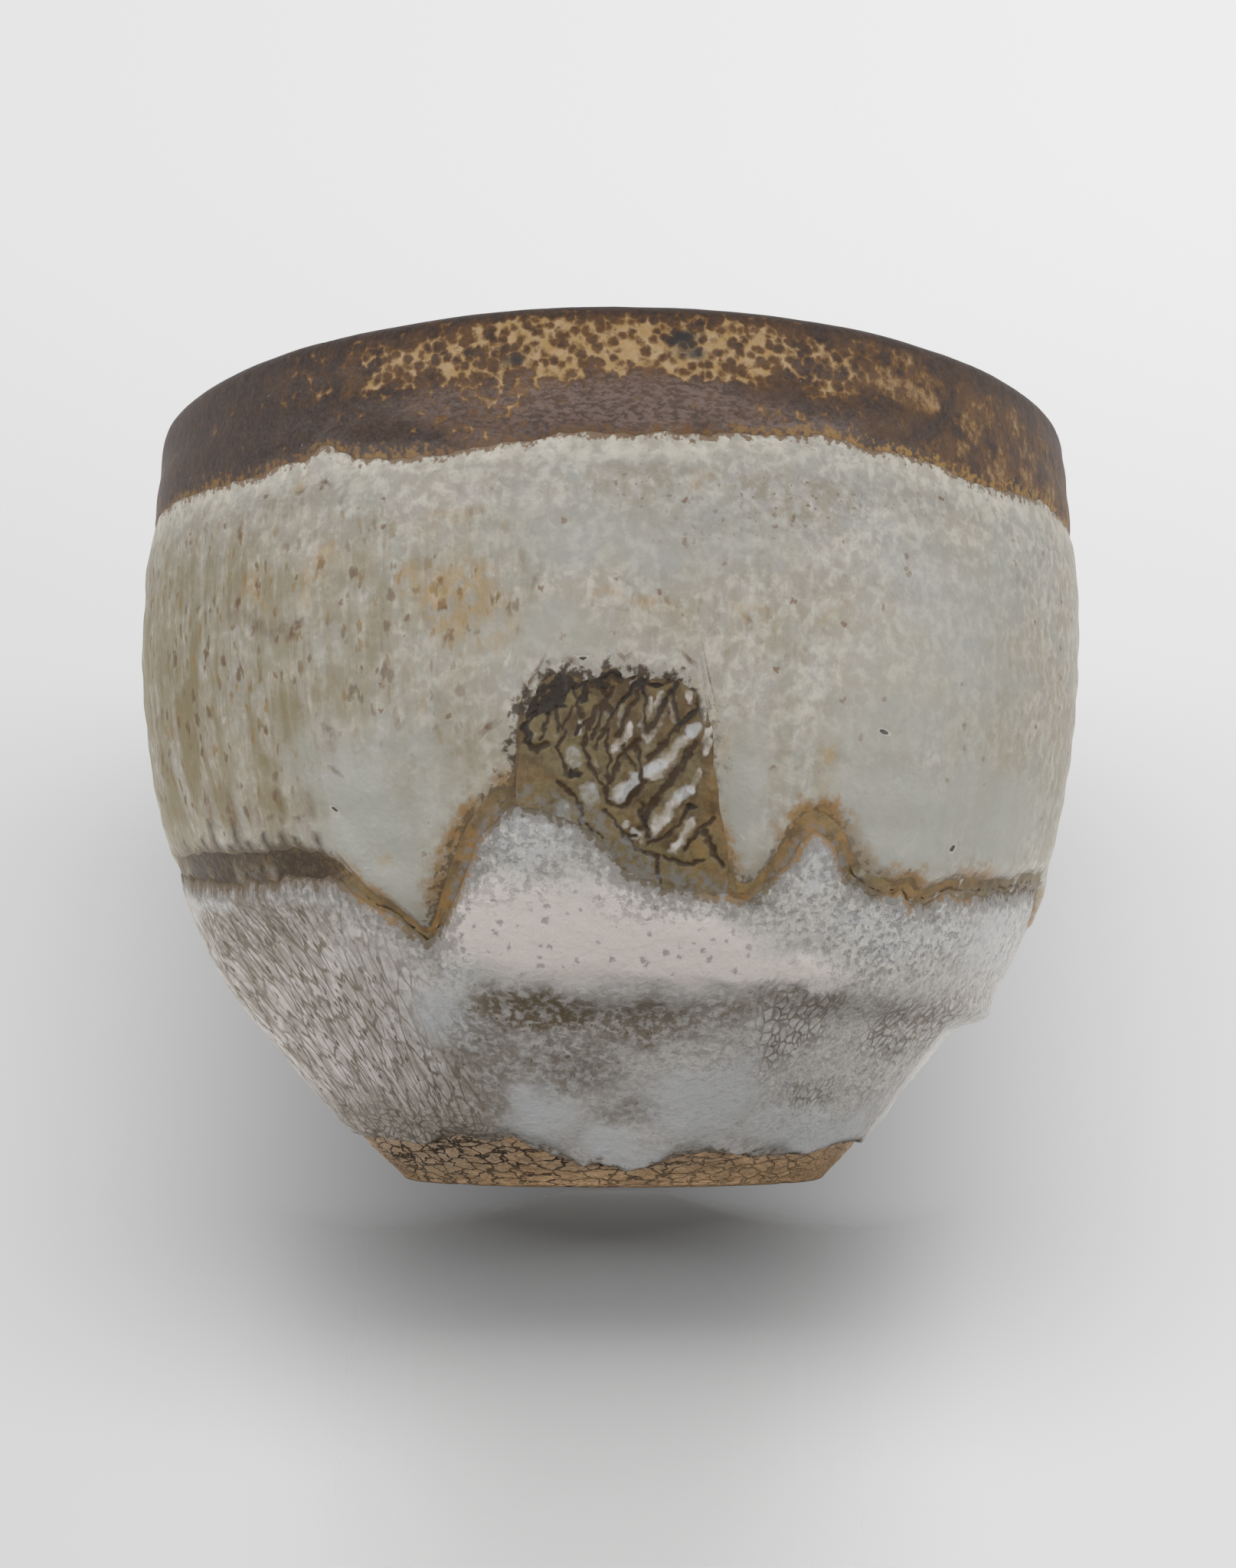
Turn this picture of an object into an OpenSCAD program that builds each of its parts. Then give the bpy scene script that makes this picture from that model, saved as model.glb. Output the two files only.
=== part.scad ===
// Guinomi, a small stoneware sake cup with an iron-glazed lip and two white glaze coats.
// Millimetres. The resting plane is z = 0, the cup's axis is +Z, and its front faces -Y.

/* [Bowl] */
// Height of the clay from the resting plane to the lip
bowl_h = 53.8; // [48:0.2:60]
// Outer radius of the clay at its widest
belly_r = 34.4; // [32:0.1:38]
// Height of the widest place
belly_h = 40; // [36:0.5:43]
// How far the lip draws in from the belly
lip_draw = 0.6; // [0:0.1:2]
// Thickness of the clay wall at the belly
wall_t = 3; // [2.6:0.1:4]
// Thickness of the clay at the lip
lip_t = 2.6; // [2.2:0.1:3.4]
// Radius of the lip's two edges
lip_edge_r = 0.9; // [0.4:0.1:1]
// Height of the shoulder, where the trimmed cone ends
shoulder_h = 12.2; // [10.6:0.1:14]
// Lean of the trimmed cone from the upright, in degrees
taper_deg = 41.4; // [38:0.2:44]
// Clay under the middle of the well
floor_t = 5; // [4:0.1:7]

/* [Foot] */
// Outer radius of the foot at the resting plane
foot_r = 15.1; // [13.5:0.1:16]
// Height of the foot ring
foot_h = 2.4; // [1.8:0.1:3.2]
// How far the foot ring widens from the resting plane to its top
foot_flare = 2.6; // [1.5:0.1:3]
// Radius of the recess that the ring leaves under the floor
recess_r = 10.4; // [8:0.1:11.5]
// Radius of the ring's worn inner and outer edges
foot_edge_r = 0.4; // [0.2:0.05:0.7]

/* [Trimming] */
// Height of the ledge that the trimming knife left round the shoulder
ledge_h = 12; // [10.8:0.1:13]
// Depth of the deepest knife cut below the ledge
cut_depth = 1.3; // [0.6:0.1:1.6]

/* [Glazes] */
// Thickness of the iron glaze on the lip
iron_t = 0.35; // [0.2:0.05:0.5]
// Depth of the iron band outside, from the top of the lip
iron_depth = 8.7; // [6:0.1:12]
// Depth of the iron band inside, from the top of the lip
iron_depth_in = 7; // [4:0.1:10]
// Height of the waves along the edges of the iron band
iron_wave = 0.6; // [0.3:0.1:0.9]
// Radius of the widest of those waves
iron_wave_r = 9; // [6:0.5:12]
// Thickness of the white glaze coats outside
coat_t = 0.6; // [0.4:0.05:0.8]
// Thickness of the white glaze inside
lining_t = 0.5; // [0.3:0.05:0.8]
// Mean height of the upper coat's lower edge
seam_h = 20.6; // [18.6:0.1:23]
// Length of the longest run on that edge
run_len = 4.4; // [3:0.1:5]
// Half the width of the widest run on that edge
run_half_w = 8; // [6:0.5:10]
// Height of the bare seam between the two white coats
seam_w = 1; // [0.6:0.1:1.6]
// Thickness of the iron-stained glaze in the seam and in the window
thin_t = 0.25; // [0.15:0.05:0.35]
// Mean height of the lower coat's edge above the resting plane
hem_h = 2.7; // [2.2:0.1:3.4]
// Height of the waves along that edge
hem_wave = 0.8; // [0.3:0.1:1]
// Radius of the widest of those waves
hem_wave_r = 6; // [4:0.5:8]

/* [Crawled window] */
// Width of the window where the upper coat crawled away
window_w = 11.8; // [8:0.1:15]
// Height of the window's top
window_top_h = 31.2; // [29:0.1:34]
// Sideways place of the window's middle
window_x = 0.2; // [-3:0.1:3]

/* [Hidden] */

$fn = 96;
// Straight steps along a drawn curve and round a lip edge
curve_steps = 7;
edge_steps = 3;
// Overrun of a cutting shape past what it cuts
overrun = 4;

foot_top_r = foot_r + foot_flare;
shoulder_r = foot_top_r + (shoulder_h - foot_h) * tan(taper_deg);
lip_r = belly_r - lip_draw;
lip_in_r = lip_r - lip_t;
belly_in_r = belly_r - wall_t;
well_h = foot_h + floor_t;
// Radius past every outer surface, for zones and cutters
beyond_r = belly_r + coat_t + overrun;
// Radius in the middle of the wall, between the outer and the inner glazes
mid_wall_r = belly_r - wall_t / 2;
// How far a lobe that rises above its edge stays inside the zone's two radii
inset = wall_t / 6;
// The outer curve's handles, as shares of the rise from shoulder to belly
handle_shares = [0.16, 0.45];
// The well's handles: share of the well's radius for the floor, share of its rise for the wall
well_shares = [0.54, 0.24];
// The well's curve reaches the wall at this share of the belly's height
well_top_share = 0.9;

// Knife cuts below the ledge: azimuth, lean in degrees, depth as a share of the deepest cut,
// and how high the cut reaches as a share of the ledge's height.
// Azimuth 0 is the front, and 90 is +X.
knife_cut_shares = [
    [-150, 39, 0.66, 1], [-104, 38, 0.7, 1.3], [-50, 38, 1, 1.5], [0, 40, 0.52, 1],
    [38, 39, 0.62, 1], [80, 38, 0.8, 0.96], [126, 39, 0.7, 1.1], [170, 39, 0.76, 1]
];

// Lobes on a glaze edge: azimuth, size as a share of the widest lobe's half width or radius, and
// how far the lobe hangs below the edge's mean height, as a share of the longest. Negative ones
// reach above it.
run_shares = [
    [-72, 1, -0.42], [-45, 1, -0.24], [-23, 0.55, 1], [-10.5, 0.5, -0.9], [-2.5, 0.6, -0.46],
    [15, 0.5, 0.4], [23, 0.3, -0.62], [38, 0.75, 0.46], [62, 0.6, -0.2], [84, 0.5, 0.72],
    [103, 0.7, -0.5], [128, 0.5, 0.5], [147, 0.45, -0.6], [168, 0.6, 0.86], [191, 0.8, -0.5],
    [215, 0.5, 0.6], [238, 0.9, -0.35], [262, 0.5, 0.46]
];
// Outline of one run: shares of its half width across, and of its length down
run_outline_shares = [[-0.62, 0.24], [-0.26, 0.86], [0, 1], [0.26, 0.86], [0.62, 0.24]];
// Outline of the crawled window: shares of its width across, and of its height over the seam
window_shares = [
    [-0.4, -0.3], [0.75, -0.3], [0.6, 0.16], [0.47, 0.45], [0.5, 0.8], [0.36, 0.96], [0.05, 1],
    [-0.34, 0.97], [-0.5, 0.78], [-0.52, 0.55], [-0.4, 0.3]
];
iron_wave_shares = [[-20, 0.7, 1], [22, 0.9, -0.8], [80, 1, -0.6], [150, 1, 0.7], [226, 1, -0.8]];
iron_in_wave_shares = [[10, 0.9, 0.8], [104, 0.8, 1], [196, 1, -0.7], [292, 0.9, 0.8]];
hem_wave_shares = [[1, 1, 1], [-38, 0.9, -0.5], [66, 0.8, -0.6], [150, 1, -0.5], [198, 0.8, 0.7]];

function bezier(a, b, c, d, t) =
    pow(1 - t, 3) * a + 3 * t * pow(1 - t, 2) * b + 3 * t * t * (1 - t) * c + pow(t, 3) * d;

// Outer clay outline as [radius, height], from the resting plane to the lip's outer edge
shoulder = [shoulder_r, shoulder_h];
rise = belly_h - shoulder_h;
outer_line = concat(
    [[foot_r, 0], [foot_top_r, foot_h]],
    [for (i = [0 : curve_steps]) bezier(
        shoulder,
        shoulder + handle_shares[0] * rise * [tan(taper_deg), 1],
        [belly_r, belly_h - handle_shares[1] * rise],
        [belly_r, belly_h],
        i / curve_steps)],
    [for (i = [1 : edge_steps]) let (t = i / edge_steps, top = bowl_h - lip_edge_r)
        [belly_r - lip_draw * t * t, belly_h + (top - belly_h) * t]]
);

// The lip's edges and its flat, from outside to inside
lip_line = concat(
    [for (i = [1 : edge_steps]) let (a = 90 * i / edge_steps)
        [lip_r - lip_edge_r * (1 - cos(a)), bowl_h - lip_edge_r * (1 - sin(a))]],
    [for (i = [0 : edge_steps]) let (a = 90 * i / edge_steps)
        [lip_in_r + lip_edge_r * (1 - sin(a)), bowl_h - lip_edge_r * (1 - cos(a))]]
);

// The point of the outer outline that lies above every part of the lower coat
lower_end = 7;

// Inner clay outline, from the wall under the lip down to the middle of the well
well_top_h = belly_h * well_top_share;
well_line = [for (i = [0 : curve_steps]) bezier(
    [belly_in_r, well_top_h],
    [belly_in_r, well_h + well_shares[1] * (well_top_h - well_h)],
    [belly_in_r * well_shares[0], well_h],
    [0, well_h],
    i / curve_steps)];

// The same line moved by d to its left as it is drawn, which is out of the clay on all three lines.
// An end on the axis stays on it, and the resting plane's end stays level.
function unit(v) = v / norm(v);
function side_of(line, i) =
    let (last = len(line) - 1)
    unit(unit(line[min(i + 1, last)] - line[i] + (i == last ? line[i] - line[i - 1] : [0, 0]))
        + unit(line[i] - line[max(i - 1, 0)] + (i == 0 ? line[1] - line[0] : [0, 0])));
function moved(line, d) = [for (i = [0 : len(line) - 1])
    let (along = side_of(line, i), out = [along[1], -along[0]])
        line[i][0] == 0 ? [0, line[i][1] + d] : line[i] + d * out];

// All of the wall that lies below a glaze edge of mean height level, with that edge's lobes, from
// wall radius near to wall radius far. Lobes are round rods, or runs where half_w is their size.
// Runs that hang are wider by gap on each side, and those that rise are narrower by it.
module below(level, lobe_shares, widest, longest, near, far, runs = false, gap = 0) {
    difference() {
        rotate_extrude()
            polygon([[near, -overrun], [far, -overrun], [far, level], [near, level]]);
        for (share = lobe_shares)
            if (share[2] > 0)
                lobe(level, share, widest, longest, near - overrun, far + overrun, runs, gap);
    }
    for (share = lobe_shares)
        if (share[2] < 0)
            lobe(level, share, widest, longest, near + inset, far - inset, runs, gap);
}

// One lobe, level and straight out through the wall at its azimuth
module lobe(level, share, widest, longest, near, far, runs, gap) {
    drop = longest * share[2];
    side = sign(drop);
    size = widest * share[1] + side * gap;
    rotate([0, 0, share[0]])
        translate([0, -near, level])
            rotate([90, 0, 0])
                if (runs)
                    linear_extrude(height = far - near)
                        polygon(concat(
                            [for (p = run_outline_shares) [size * p[0], -drop * p[1]]],
                            [[size, side * inset], [-size, side * inset]]));
                else
                    translate([0, side * size - drop, 0])
                        cylinder(r = size, h = far - near);
}

module below_iron(near) {
    below(bowl_h - iron_depth, iron_wave_shares, iron_wave_r, iron_wave, near, beyond_r);
}

module below_iron_in() {
    below(bowl_h - iron_depth_in, iron_in_wave_shares, iron_wave_r, iron_wave, foot_r, mid_wall_r);
}

module below_seam() {
    below(seam_h, run_shares, run_half_w, run_len, foot_r, beyond_r, true);
}

// What lies below the lower edge of the seam's thin glaze, seam_w from the upper coat all along
module below_gap() {
    below(seam_h - seam_w, run_shares, run_half_w, run_len, foot_r, beyond_r, true, seam_w / 2);
}

module below_hem() {
    below(hem_h, hem_wave_shares, hem_wave_r, hem_wave, recess_r, beyond_r);
}

// What the knife takes off below the ledge, with the cut planes moved out by d
module knife_cuts(d) {
    plane_reach = 2 * beyond_r;
    for (cut = knife_cut_shares)
        intersection() {
            start_r = shoulder_r - cut_depth * cut[2] / cos(cut[1]);
            rotate([0, 0, cut[0] - 90])
                translate([start_r, 0, shoulder_h])
                    rotate([0, cut[1], 0])
                        translate([d, -plane_reach / 2, -plane_reach])
                            cube([plane_reach, plane_reach, 2 * plane_reach]);
            translate([0, 0, -overrun])
                cylinder(r = beyond_r, h = ledge_h * cut[3] - d + overrun);
        }
}

// Filled outer form of the clay up to point i of its outline, moved out by d
module outer_form(d, i) {
    line = moved(outer_line, d);
    difference() {
        rotate_extrude()
            polygon(concat([[0, line[0][1]]], [for (k = [0 : i]) line[k]], [[0, line[i][1]]]));
        knife_cuts(d);
    }
}

// Space inside the bowl, drawn in by d, open past the lip
module well_form(d) {
    line = moved(well_line, d);
    rotate_extrude()
        polygon(concat(
            [[lip_in_r - d, bowl_h + overrun]],
            [[lip_in_r - d, bowl_h - lip_edge_r]],
            line,
            [[0, bowl_h + overrun]]));
}

// A coat of thickness t on the outer form above the knife cuts, from point i of its outline
module coat(t, i) {
    line = moved(outer_line, t);
    last = len(line) - 1;
    rotate_extrude()
        polygon(concat([for (k = [i : last]) line[k]], [for (k = [last : -1 : i]) outer_line[k]]));
}

module foot_section() {
    edge = foot_edge_r;
    flare_run = foot_flare / foot_h;
    polygon(concat(
        [[recess_r, foot_h]],
        [[recess_r, edge]],
        [for (i = [1 : edge_steps]) let (a = 90 * i / edge_steps)
            [recess_r + edge * (1 - cos(a)), edge * (1 - sin(a))]],
        [[foot_r, 0]],
        [[foot_r + flare_run * foot_h, foot_h]]));
}

// Prism over the crawled window, from the axis out through the front wall
module window_prism() {
    window_len = window_top_h - seam_h;
    translate([window_x, 0, seam_h])
        rotate([90, 0, 0])
            linear_extrude(height = beyond_r)
                polygon([for (p = window_shares) [window_w * p[0], window_len * p[1]]]);
}

module stoneware_body() {
    color("#8a6a4c") difference() {
        rotate_extrude()
            polygon(concat(
                [[0, foot_h]],
                [for (i = [1 : len(outer_line) - 1]) outer_line[i]],
                lip_line,
                well_line));
        knife_cuts(0);
    }
}

module foot_ring() {
    color("#b98a5c") difference() {
        rotate_extrude()
            foot_section();
        knife_cuts(0);
    }
}

module iron_rim_glaze() {
    line = concat(outer_line, lip_line, well_line);
    first = len(outer_line) - edge_steps - 2;
    last = len(outer_line) + len(lip_line) + 1;
    glazed = moved(line, iron_t);
    color("#4a3a34") difference() {
        rotate_extrude()
            polygon(concat(
                [for (i = [first : last]) glazed[i]],
                [for (i = [last : -1 : first]) line[i]]));
        below_iron(mid_wall_r);
        below_iron_in();
    }
}

module upper_glaze_coat() {
    color("#c3c2b8") difference() {
        intersection() {
            coat(coat_t, 3);
            below_iron(foot_r);
        }
        below_seam();
        window_prism();
    }
}

module crawled_window_glaze() {
    color("#6b563a") difference() {
        intersection() {
            coat(thin_t, 3);
            window_prism();
        }
        below_seam();
    }
}

module seam_glaze_band() {
    color("#8f7348") difference() {
        intersection() {
            coat(thin_t, 2);
            below_seam();
        }
        below_gap();
    }
}

module lower_glaze_coat() {
    color("#d2cdc8") difference() {
        intersection() {
            outer_form(coat_t, lower_end);
            below_gap();
        }
        outer_form(0, lower_end + 1);
        below_hem();
    }
}

module inner_glaze_lining() {
    color("#cfcec6") intersection() {
        difference() {
            well_form(0);
            well_form(lining_t);
        }
        union() {
            below_iron_in();
            cylinder(r = foot_r + overrun, h = seam_h);
        }
    }
}

stoneware_body();
foot_ring();
iron_rim_glaze();
upper_glaze_coat();
crawled_window_glaze();
seam_glaze_band();
lower_glaze_coat();
inner_glaze_lining();
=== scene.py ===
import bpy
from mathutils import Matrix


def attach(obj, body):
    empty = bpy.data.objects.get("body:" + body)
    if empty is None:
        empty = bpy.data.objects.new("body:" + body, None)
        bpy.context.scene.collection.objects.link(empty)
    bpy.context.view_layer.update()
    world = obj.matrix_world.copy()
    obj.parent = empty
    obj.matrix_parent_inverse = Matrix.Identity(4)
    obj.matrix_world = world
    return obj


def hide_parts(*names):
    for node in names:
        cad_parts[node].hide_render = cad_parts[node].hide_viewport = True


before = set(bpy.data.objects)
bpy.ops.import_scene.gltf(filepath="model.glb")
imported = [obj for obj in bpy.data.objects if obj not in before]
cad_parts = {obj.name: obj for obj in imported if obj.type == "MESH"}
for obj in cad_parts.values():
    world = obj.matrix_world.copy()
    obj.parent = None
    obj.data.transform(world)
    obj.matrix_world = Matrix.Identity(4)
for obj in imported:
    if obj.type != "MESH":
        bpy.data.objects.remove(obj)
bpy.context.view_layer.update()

import math

import bpy
import numpy as np

bl_info = {
    "name": "Glazed sake cup",
    "version": (1, 0, 0),
    "blender": (4, 5, 0),
    "location": "3D View > Sidebar > Cup",
    "description": "Makes a small glazed stoneware cup piece by piece, with its clay, glaze coats and stage",
    "category": "Object",
}

MM = 0.001
EDGE_REACH = 4.0  # how far in mm from an edge the masks named edge tell the distance
FOOT_CORNER = 0.5  # mm up the outline where the foot's outer wall begins and its rounded corner ends
START_RADIUS = 0.03  # size in metres of the rings and balls that the pieces start from
STEPS = np.arange(-1800, 1800) / 10  # azimuths round the cup in degrees, 0 at the front, 90 at +X

# What the hands left in the clay, in mm
WALL_WOBBLE = 0.10
WALL_LEAN = 0.24
THROWING_RINGS = 0.035
LIP_SWAY = 0.14
GRIT = 0.06
PITS = 0.12

# The thin glaze in the crawled window, azimuths in degrees and heights in mm
SHEET_START = (-13.5, 17.8)
SHEET_SPAN = (30.0, 15.4)
SHEET_SIZE = 0.02  # metres, as the sheet is made
SHEET_THICKNESS = 0.25
DRAWING_CORNER = (9.01, 33.56)  # mm left of the middle and up, where the sheet's drawing has its origin
DRAWING_UNIT = (0.01725, 0.01704)  # mm per step of the drawing, across and down


# Sizes and colours

def length(name, description, mm):
    return bpy.props.FloatProperty(
        name=name, description=description, default=mm * MM, min=0.0, unit="LENGTH", precision=5)


def colour(name, description, red, green, blue):
    """A colour given by its three screen values from 0 to 255"""
    return bpy.props.FloatVectorProperty(
        name=name, description=description, default=[linear(v) for v in (red, green, blue)],
        min=0.0, max=1.0, size=3, subtype="COLOR")


def linear(value):
    value /= 255
    return value / 12.92 if value <= 0.04045 else ((value + 0.055) / 1.055) ** 2.4


class CupSizes(bpy.types.PropertyGroup):
    bowl_height: length("Bowl height", "Height of the clay from the resting plane to the lip", 53.8)
    belly_radius: length("Belly radius", "Outer radius of the clay at its widest", 34.4)
    belly_height: length("Belly height", "Height of the widest place", 40)
    lip_draw: length("Lip draw", "How far the lip draws in from the belly", 0.6)
    wall: length("Wall", "Thickness of the clay wall at the belly", 3)
    lip: length("Lip", "Thickness of the clay at the lip", 2.6)
    lip_edge: length("Lip edge", "Radius of the lip's two edges", 0.9)
    shoulder_height: length("Shoulder height", "Height where the trimmed cone ends", 12.2)
    ledge_height: length("Ledge height", "Height of the ledge that the trimming knife left", 12)
    cut_depth: length("Cut depth", "Depth of the deepest knife cut", 1.3)
    floor: length("Floor", "Clay under the middle of the well", 5)
    foot_radius: length("Foot radius", "Outer radius of the foot at the resting plane", 15.1)
    foot_height: length("Foot height", "Height of the foot ring", 2.4)
    foot_flare: length("Foot flare", "How far the foot widens to its top", 2.6)
    recess_radius: length("Recess radius", "Radius of the recess under the floor", 10.4)
    coat: length("White coats", "Thickness of the white glaze coats", 0.6)
    iron: length("Iron glaze", "Thickness of the iron glaze on the lip", 0.35)
    lining: length("Lining", "Thickness of the glaze inside", 0.5)
    thin: length("Thin glaze", "Thickness of the glaze in the seam and the window", 0.25)
    bead: length("Bead", "Extra thickness of the glaze where a run ends", 0.34)
    taper: bpy.props.FloatProperty(
        name="Taper", description="Lean of the trimmed cone from the upright",
        default=math.radians(41.4), min=0.0, max=1.2, unit="ROTATION")


class CupColours(bpy.types.PropertyGroup):
    stone: colour("Stone", "Warm grey of the upper white coat", 150, 144, 132)
    haze: colour("Haze", "Cool grey of the upper white coat", 148, 148, 142)
    milk: colour("Milk", "Thick runs of the upper white coat", 145, 145, 138)
    cream: colour("Cream", "Palest flecks of the upper white coat", 192, 188, 178)
    lilac: colour("Lilac", "Grey-lilac clouds in the white coats", 150, 147, 145)
    olive: colour("Olive", "Thin places of the white coats", 112, 101, 72)
    umber: colour("Umber", "Dark specks and drips", 52, 38, 24)
    rust: colour("Rust", "Red-brown spots and edges", 98, 68, 36)
    ochre: colour("Ochre", "Yellow stains", 150, 118, 62)
    amber: colour("Amber", "Edge of the runs", 136, 103, 58)
    chalk: colour("Chalk", "Lower white coat", 172, 169, 165)
    blush: colour("Blush", "Smooth pink band of the lower white coat", 189, 182, 177)
    frost: colour("Frost", "Blue-white patches of the lower coat", 170, 172, 173)
    granule: colour("Granule", "Blue-grey granules in the lower coat", 112, 110, 107)
    net: colour("Net", "Brown net in the white coats", 84, 71, 50)
    iron: colour("Iron", "Dark brown of the lip", 40, 29, 25)
    tan: colour("Tan", "Tan net on the lip", 166, 142, 110)
    # slate is the grey of the iron's grain and, where the painted_sheen mask lays it, the colour of a painted
    # sheen
    slate: colour("Slate", "Grey sheen on the lip", 112, 95, 87)
    night: colour("Night", "Blue-black spots", 36, 36, 38)
    clay: colour("Clay", "Bare fired clay", 180, 149, 116)
    clay_dark: colour("Dark clay", "Cracks and smoke on the clay", 36, 28, 22)
    film: colour("Film", "Grey film over the clay by the foot", 136, 126, 113)
    floor: colour("Floor", "Pale floor", 214, 214, 214)


# Hills, marks and edges

def lattice(i, j, k, seed):
    n = (i * 374761393 + j * 668265263 + k * 1440662683 + seed * 974634777) & 0xFFFFFFFF
    n = ((n ^ (n >> 13)) * 1274126177) & 0xFFFFFFFF
    return (n ^ (n >> 16)) / 2147483648.0 - 1.0


def hills(points, size, seed, layers=2):
    """Smooth random hills from about -1 to 1, size mm across, at points in mm"""
    total = np.zeros(points.shape[:-1])
    for layer in range(layers):
        p = points / size * 2 ** layer
        cell = np.floor(p).astype(np.int64)
        f = p - cell
        f = f * f * (3 - 2 * f)
        value = 0
        for corner in np.ndindex(2, 2, 2):
            weight = 1
            for axis, far in enumerate(corner):
                weight = weight * (f[..., axis] if far else 1 - f[..., axis])
            value = value + weight * lattice(*np.moveaxis(cell + corner, -1, 0), seed + layer)
        total += value / 2 ** layer
    return total


def on_ring(azimuth, height, radius=32.0):
    """Points round the cup at a radius, in mm, for patterns that close on themselves"""
    a = np.radians(azimuth)
    return np.stack(np.broadcast_arrays(radius * np.cos(a), radius * np.sin(a), height), -1)


def rise(value, low, high):
    """0 below low, 1 above high, smooth between"""
    t = np.clip((value - low) / (high - low), 0, 1)
    return t * t * (3 - 2 * t)


def turn(azimuth):
    """The same azimuth from -180 to 180"""
    return (azimuth + 180) % 360 - 180


def marks(azimuth, height, table, soft=0.45):
    """Soft oval marks: azimuth, height, half width in degrees, half height in mm and strength"""
    total = np.zeros(np.broadcast(azimuth, height).shape)
    for a, h, wide, tall, strength in table:
        d = np.hypot(turn(azimuth - a) / wide, (height - h) / tall)
        total = np.maximum(total, strength * rise(-d, -1 - soft, -1 + soft))
    return total


def dots(azimuth, height, table, radius=30.0):
    """Small round spots, given by azimuth, height and radius in mm: 1 in the middle, 0.5 at the radius"""
    total = np.zeros(np.broadcast(azimuth, height).shape)
    for a, h, size in table:
        d = np.hypot(np.radians(turn(azimuth - a)) * radius, height - h)
        total = np.maximum(total, np.clip(1 - 0.5 * d / size, 0, 1))
    return total


def flames(azimuth, height, table):
    """Tongues that taper upwards, given as azimuth, foot, tip and half width in degrees"""
    total = np.zeros(np.broadcast(azimuth, height).shape)
    for a, foot, tip, half in table:
        up = np.clip((height - foot) / (tip - foot), 0, 1)
        beside = np.abs(turn(azimuth - a)) / (half * (1 - up) ** 0.7 + 0.1)
        total = np.maximum(total, rise(-beside, -1.3, -0.5) * rise(tip - height, -0.1, 0.4))
    return total


def strokes(x, y, table):
    """How near each point is to drawn strokes, 1 on a stroke and 0 at its half width"""
    total = np.zeros(x.shape)
    for half, *points in table:
        for (ax, ay), (bx, by) in zip(points, points[1:]):
            dx, dy = bx - ax, by - ay
            t = np.clip(((x - ax) * dx + (y - ay) * dy) / (dx * dx + dy * dy), 0, 1)
            d = np.hypot(x - ax - t * dx, y - ay - t * dy)
            total = np.maximum(total, np.clip(1 - d / half, 0, 1))
    return total


def ring_line(table, soften=0.5):
    """Height all round, at STEPS, through given points of azimuth and height, with its corners rounded"""
    points = np.array(sorted(table), float)
    line = np.interp(STEPS, points[:, 0], points[:, 1], period=360)
    reach = np.arange(-40, 41) / 10
    weight = np.exp(-(reach / soften) ** 2 / 2)
    wide = np.concatenate([line[-40:], line, line[:40]])
    return np.convolve(wide, weight / weight.sum(), "valid")


def at(line, azimuth):
    return np.interp(azimuth, STEPS, line, period=360)


def drawn_back(line, gap, radius=31.0):
    """The line moved down to lie gap mm from the first, measured square to it, where the gap may vary"""
    lowest = line - gap
    for shift in range(-40, 41):
        across = abs(shift) / 10 * math.pi / 180 * radius
        inside = across < gap
        other = np.roll(line, shift) - np.sqrt(np.where(inside, gap ** 2 - across ** 2, 0))
        lowest = np.where(inside, np.minimum(lowest, other), lowest)
    return lowest


# The glazes' edges and the seam's width, listed as azimuth, then height or width in mm
IRON_EDGE = [
    (-80, 46.9), (-62, 46.7), (-46, 45.8), (-37, 45.8), (-33.5, 46.1), (-31.4, 47.0), (-29.5, 45.7),
    (-27, 45.4), (-20.5, 44.8), (-12, 45.2), (-8, 45.5), (0, 45.7), (7.5, 45.7), (15, 46.1), (22, 46.3),
    (27.5, 46.1), (33.5, 45.9), (40, 45.5), (49, 45.6), (59, 46.2), (66, 46.4), (80, 46.3), (100, 45.2),
    (122, 44.7), (150, 44.6), (170, 45.3), (-165, 45.9), (-140, 45.6), (-118, 45.2), (-98, 46.2)]
IRON_EDGE_INSIDE = [
    (-170, 46.9), (-150, 46.2), (-120, 47.2), (-90, 46.7), (-70, 46.1), (-40, 46.8), (-10, 46.3),
    (10, 46.0), (40, 46.9), (70, 47.1), (100, 46.1), (130, 46.8), (160, 47.3)]
RUNS = [
    (-76, 22.9), (-66, 22.4), (-58, 22.2), (-51.5, 21.7), (-45, 21.5), (-39, 21.7), (-34, 20.8),
    (-30, 18.8), (-26, 17.4), (-23.4, 16.2), (-22.4, 16.3), (-20, 18.6), (-18, 20.4), (-16, 22.1),
    (-13, 23.9), (-9.6, 24.7), (-6, 23.8), (-1, 22.9), (2.4, 21.1), (6, 19.8), (10, 19.4), (13.6, 19.0),
    (16.3, 18.8), (18.7, 20.4), (20.5, 22.5), (23, 23.5), (26.7, 22.0), (29.6, 20.0), (33, 19.4),
    (37, 19.5), (39, 18.6), (44.6, 19.8), (51, 20.0), (58, 20.4), (66, 21.2), (74, 21.6), (79, 20.2),
    (84, 17.6), (88, 18.6), (94, 21.6), (103, 22.8), (112, 22.0), (120, 19.9), (128, 18.3), (136, 20.8),
    (147, 23.1), (156, 21.4), (163, 18.6), (168, 16.9), (173, 18.9), (180, 21.4), (-169, 22.8),
    (-158, 21.2), (-150, 18.9), (-145, 18.0), (-138, 19.6), (-130, 21.4), (-122, 22.1), (-112, 21.2),
    (-104, 19.2), (-98, 18.6), (-91, 20.6), (-84, 22.4)]
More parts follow.
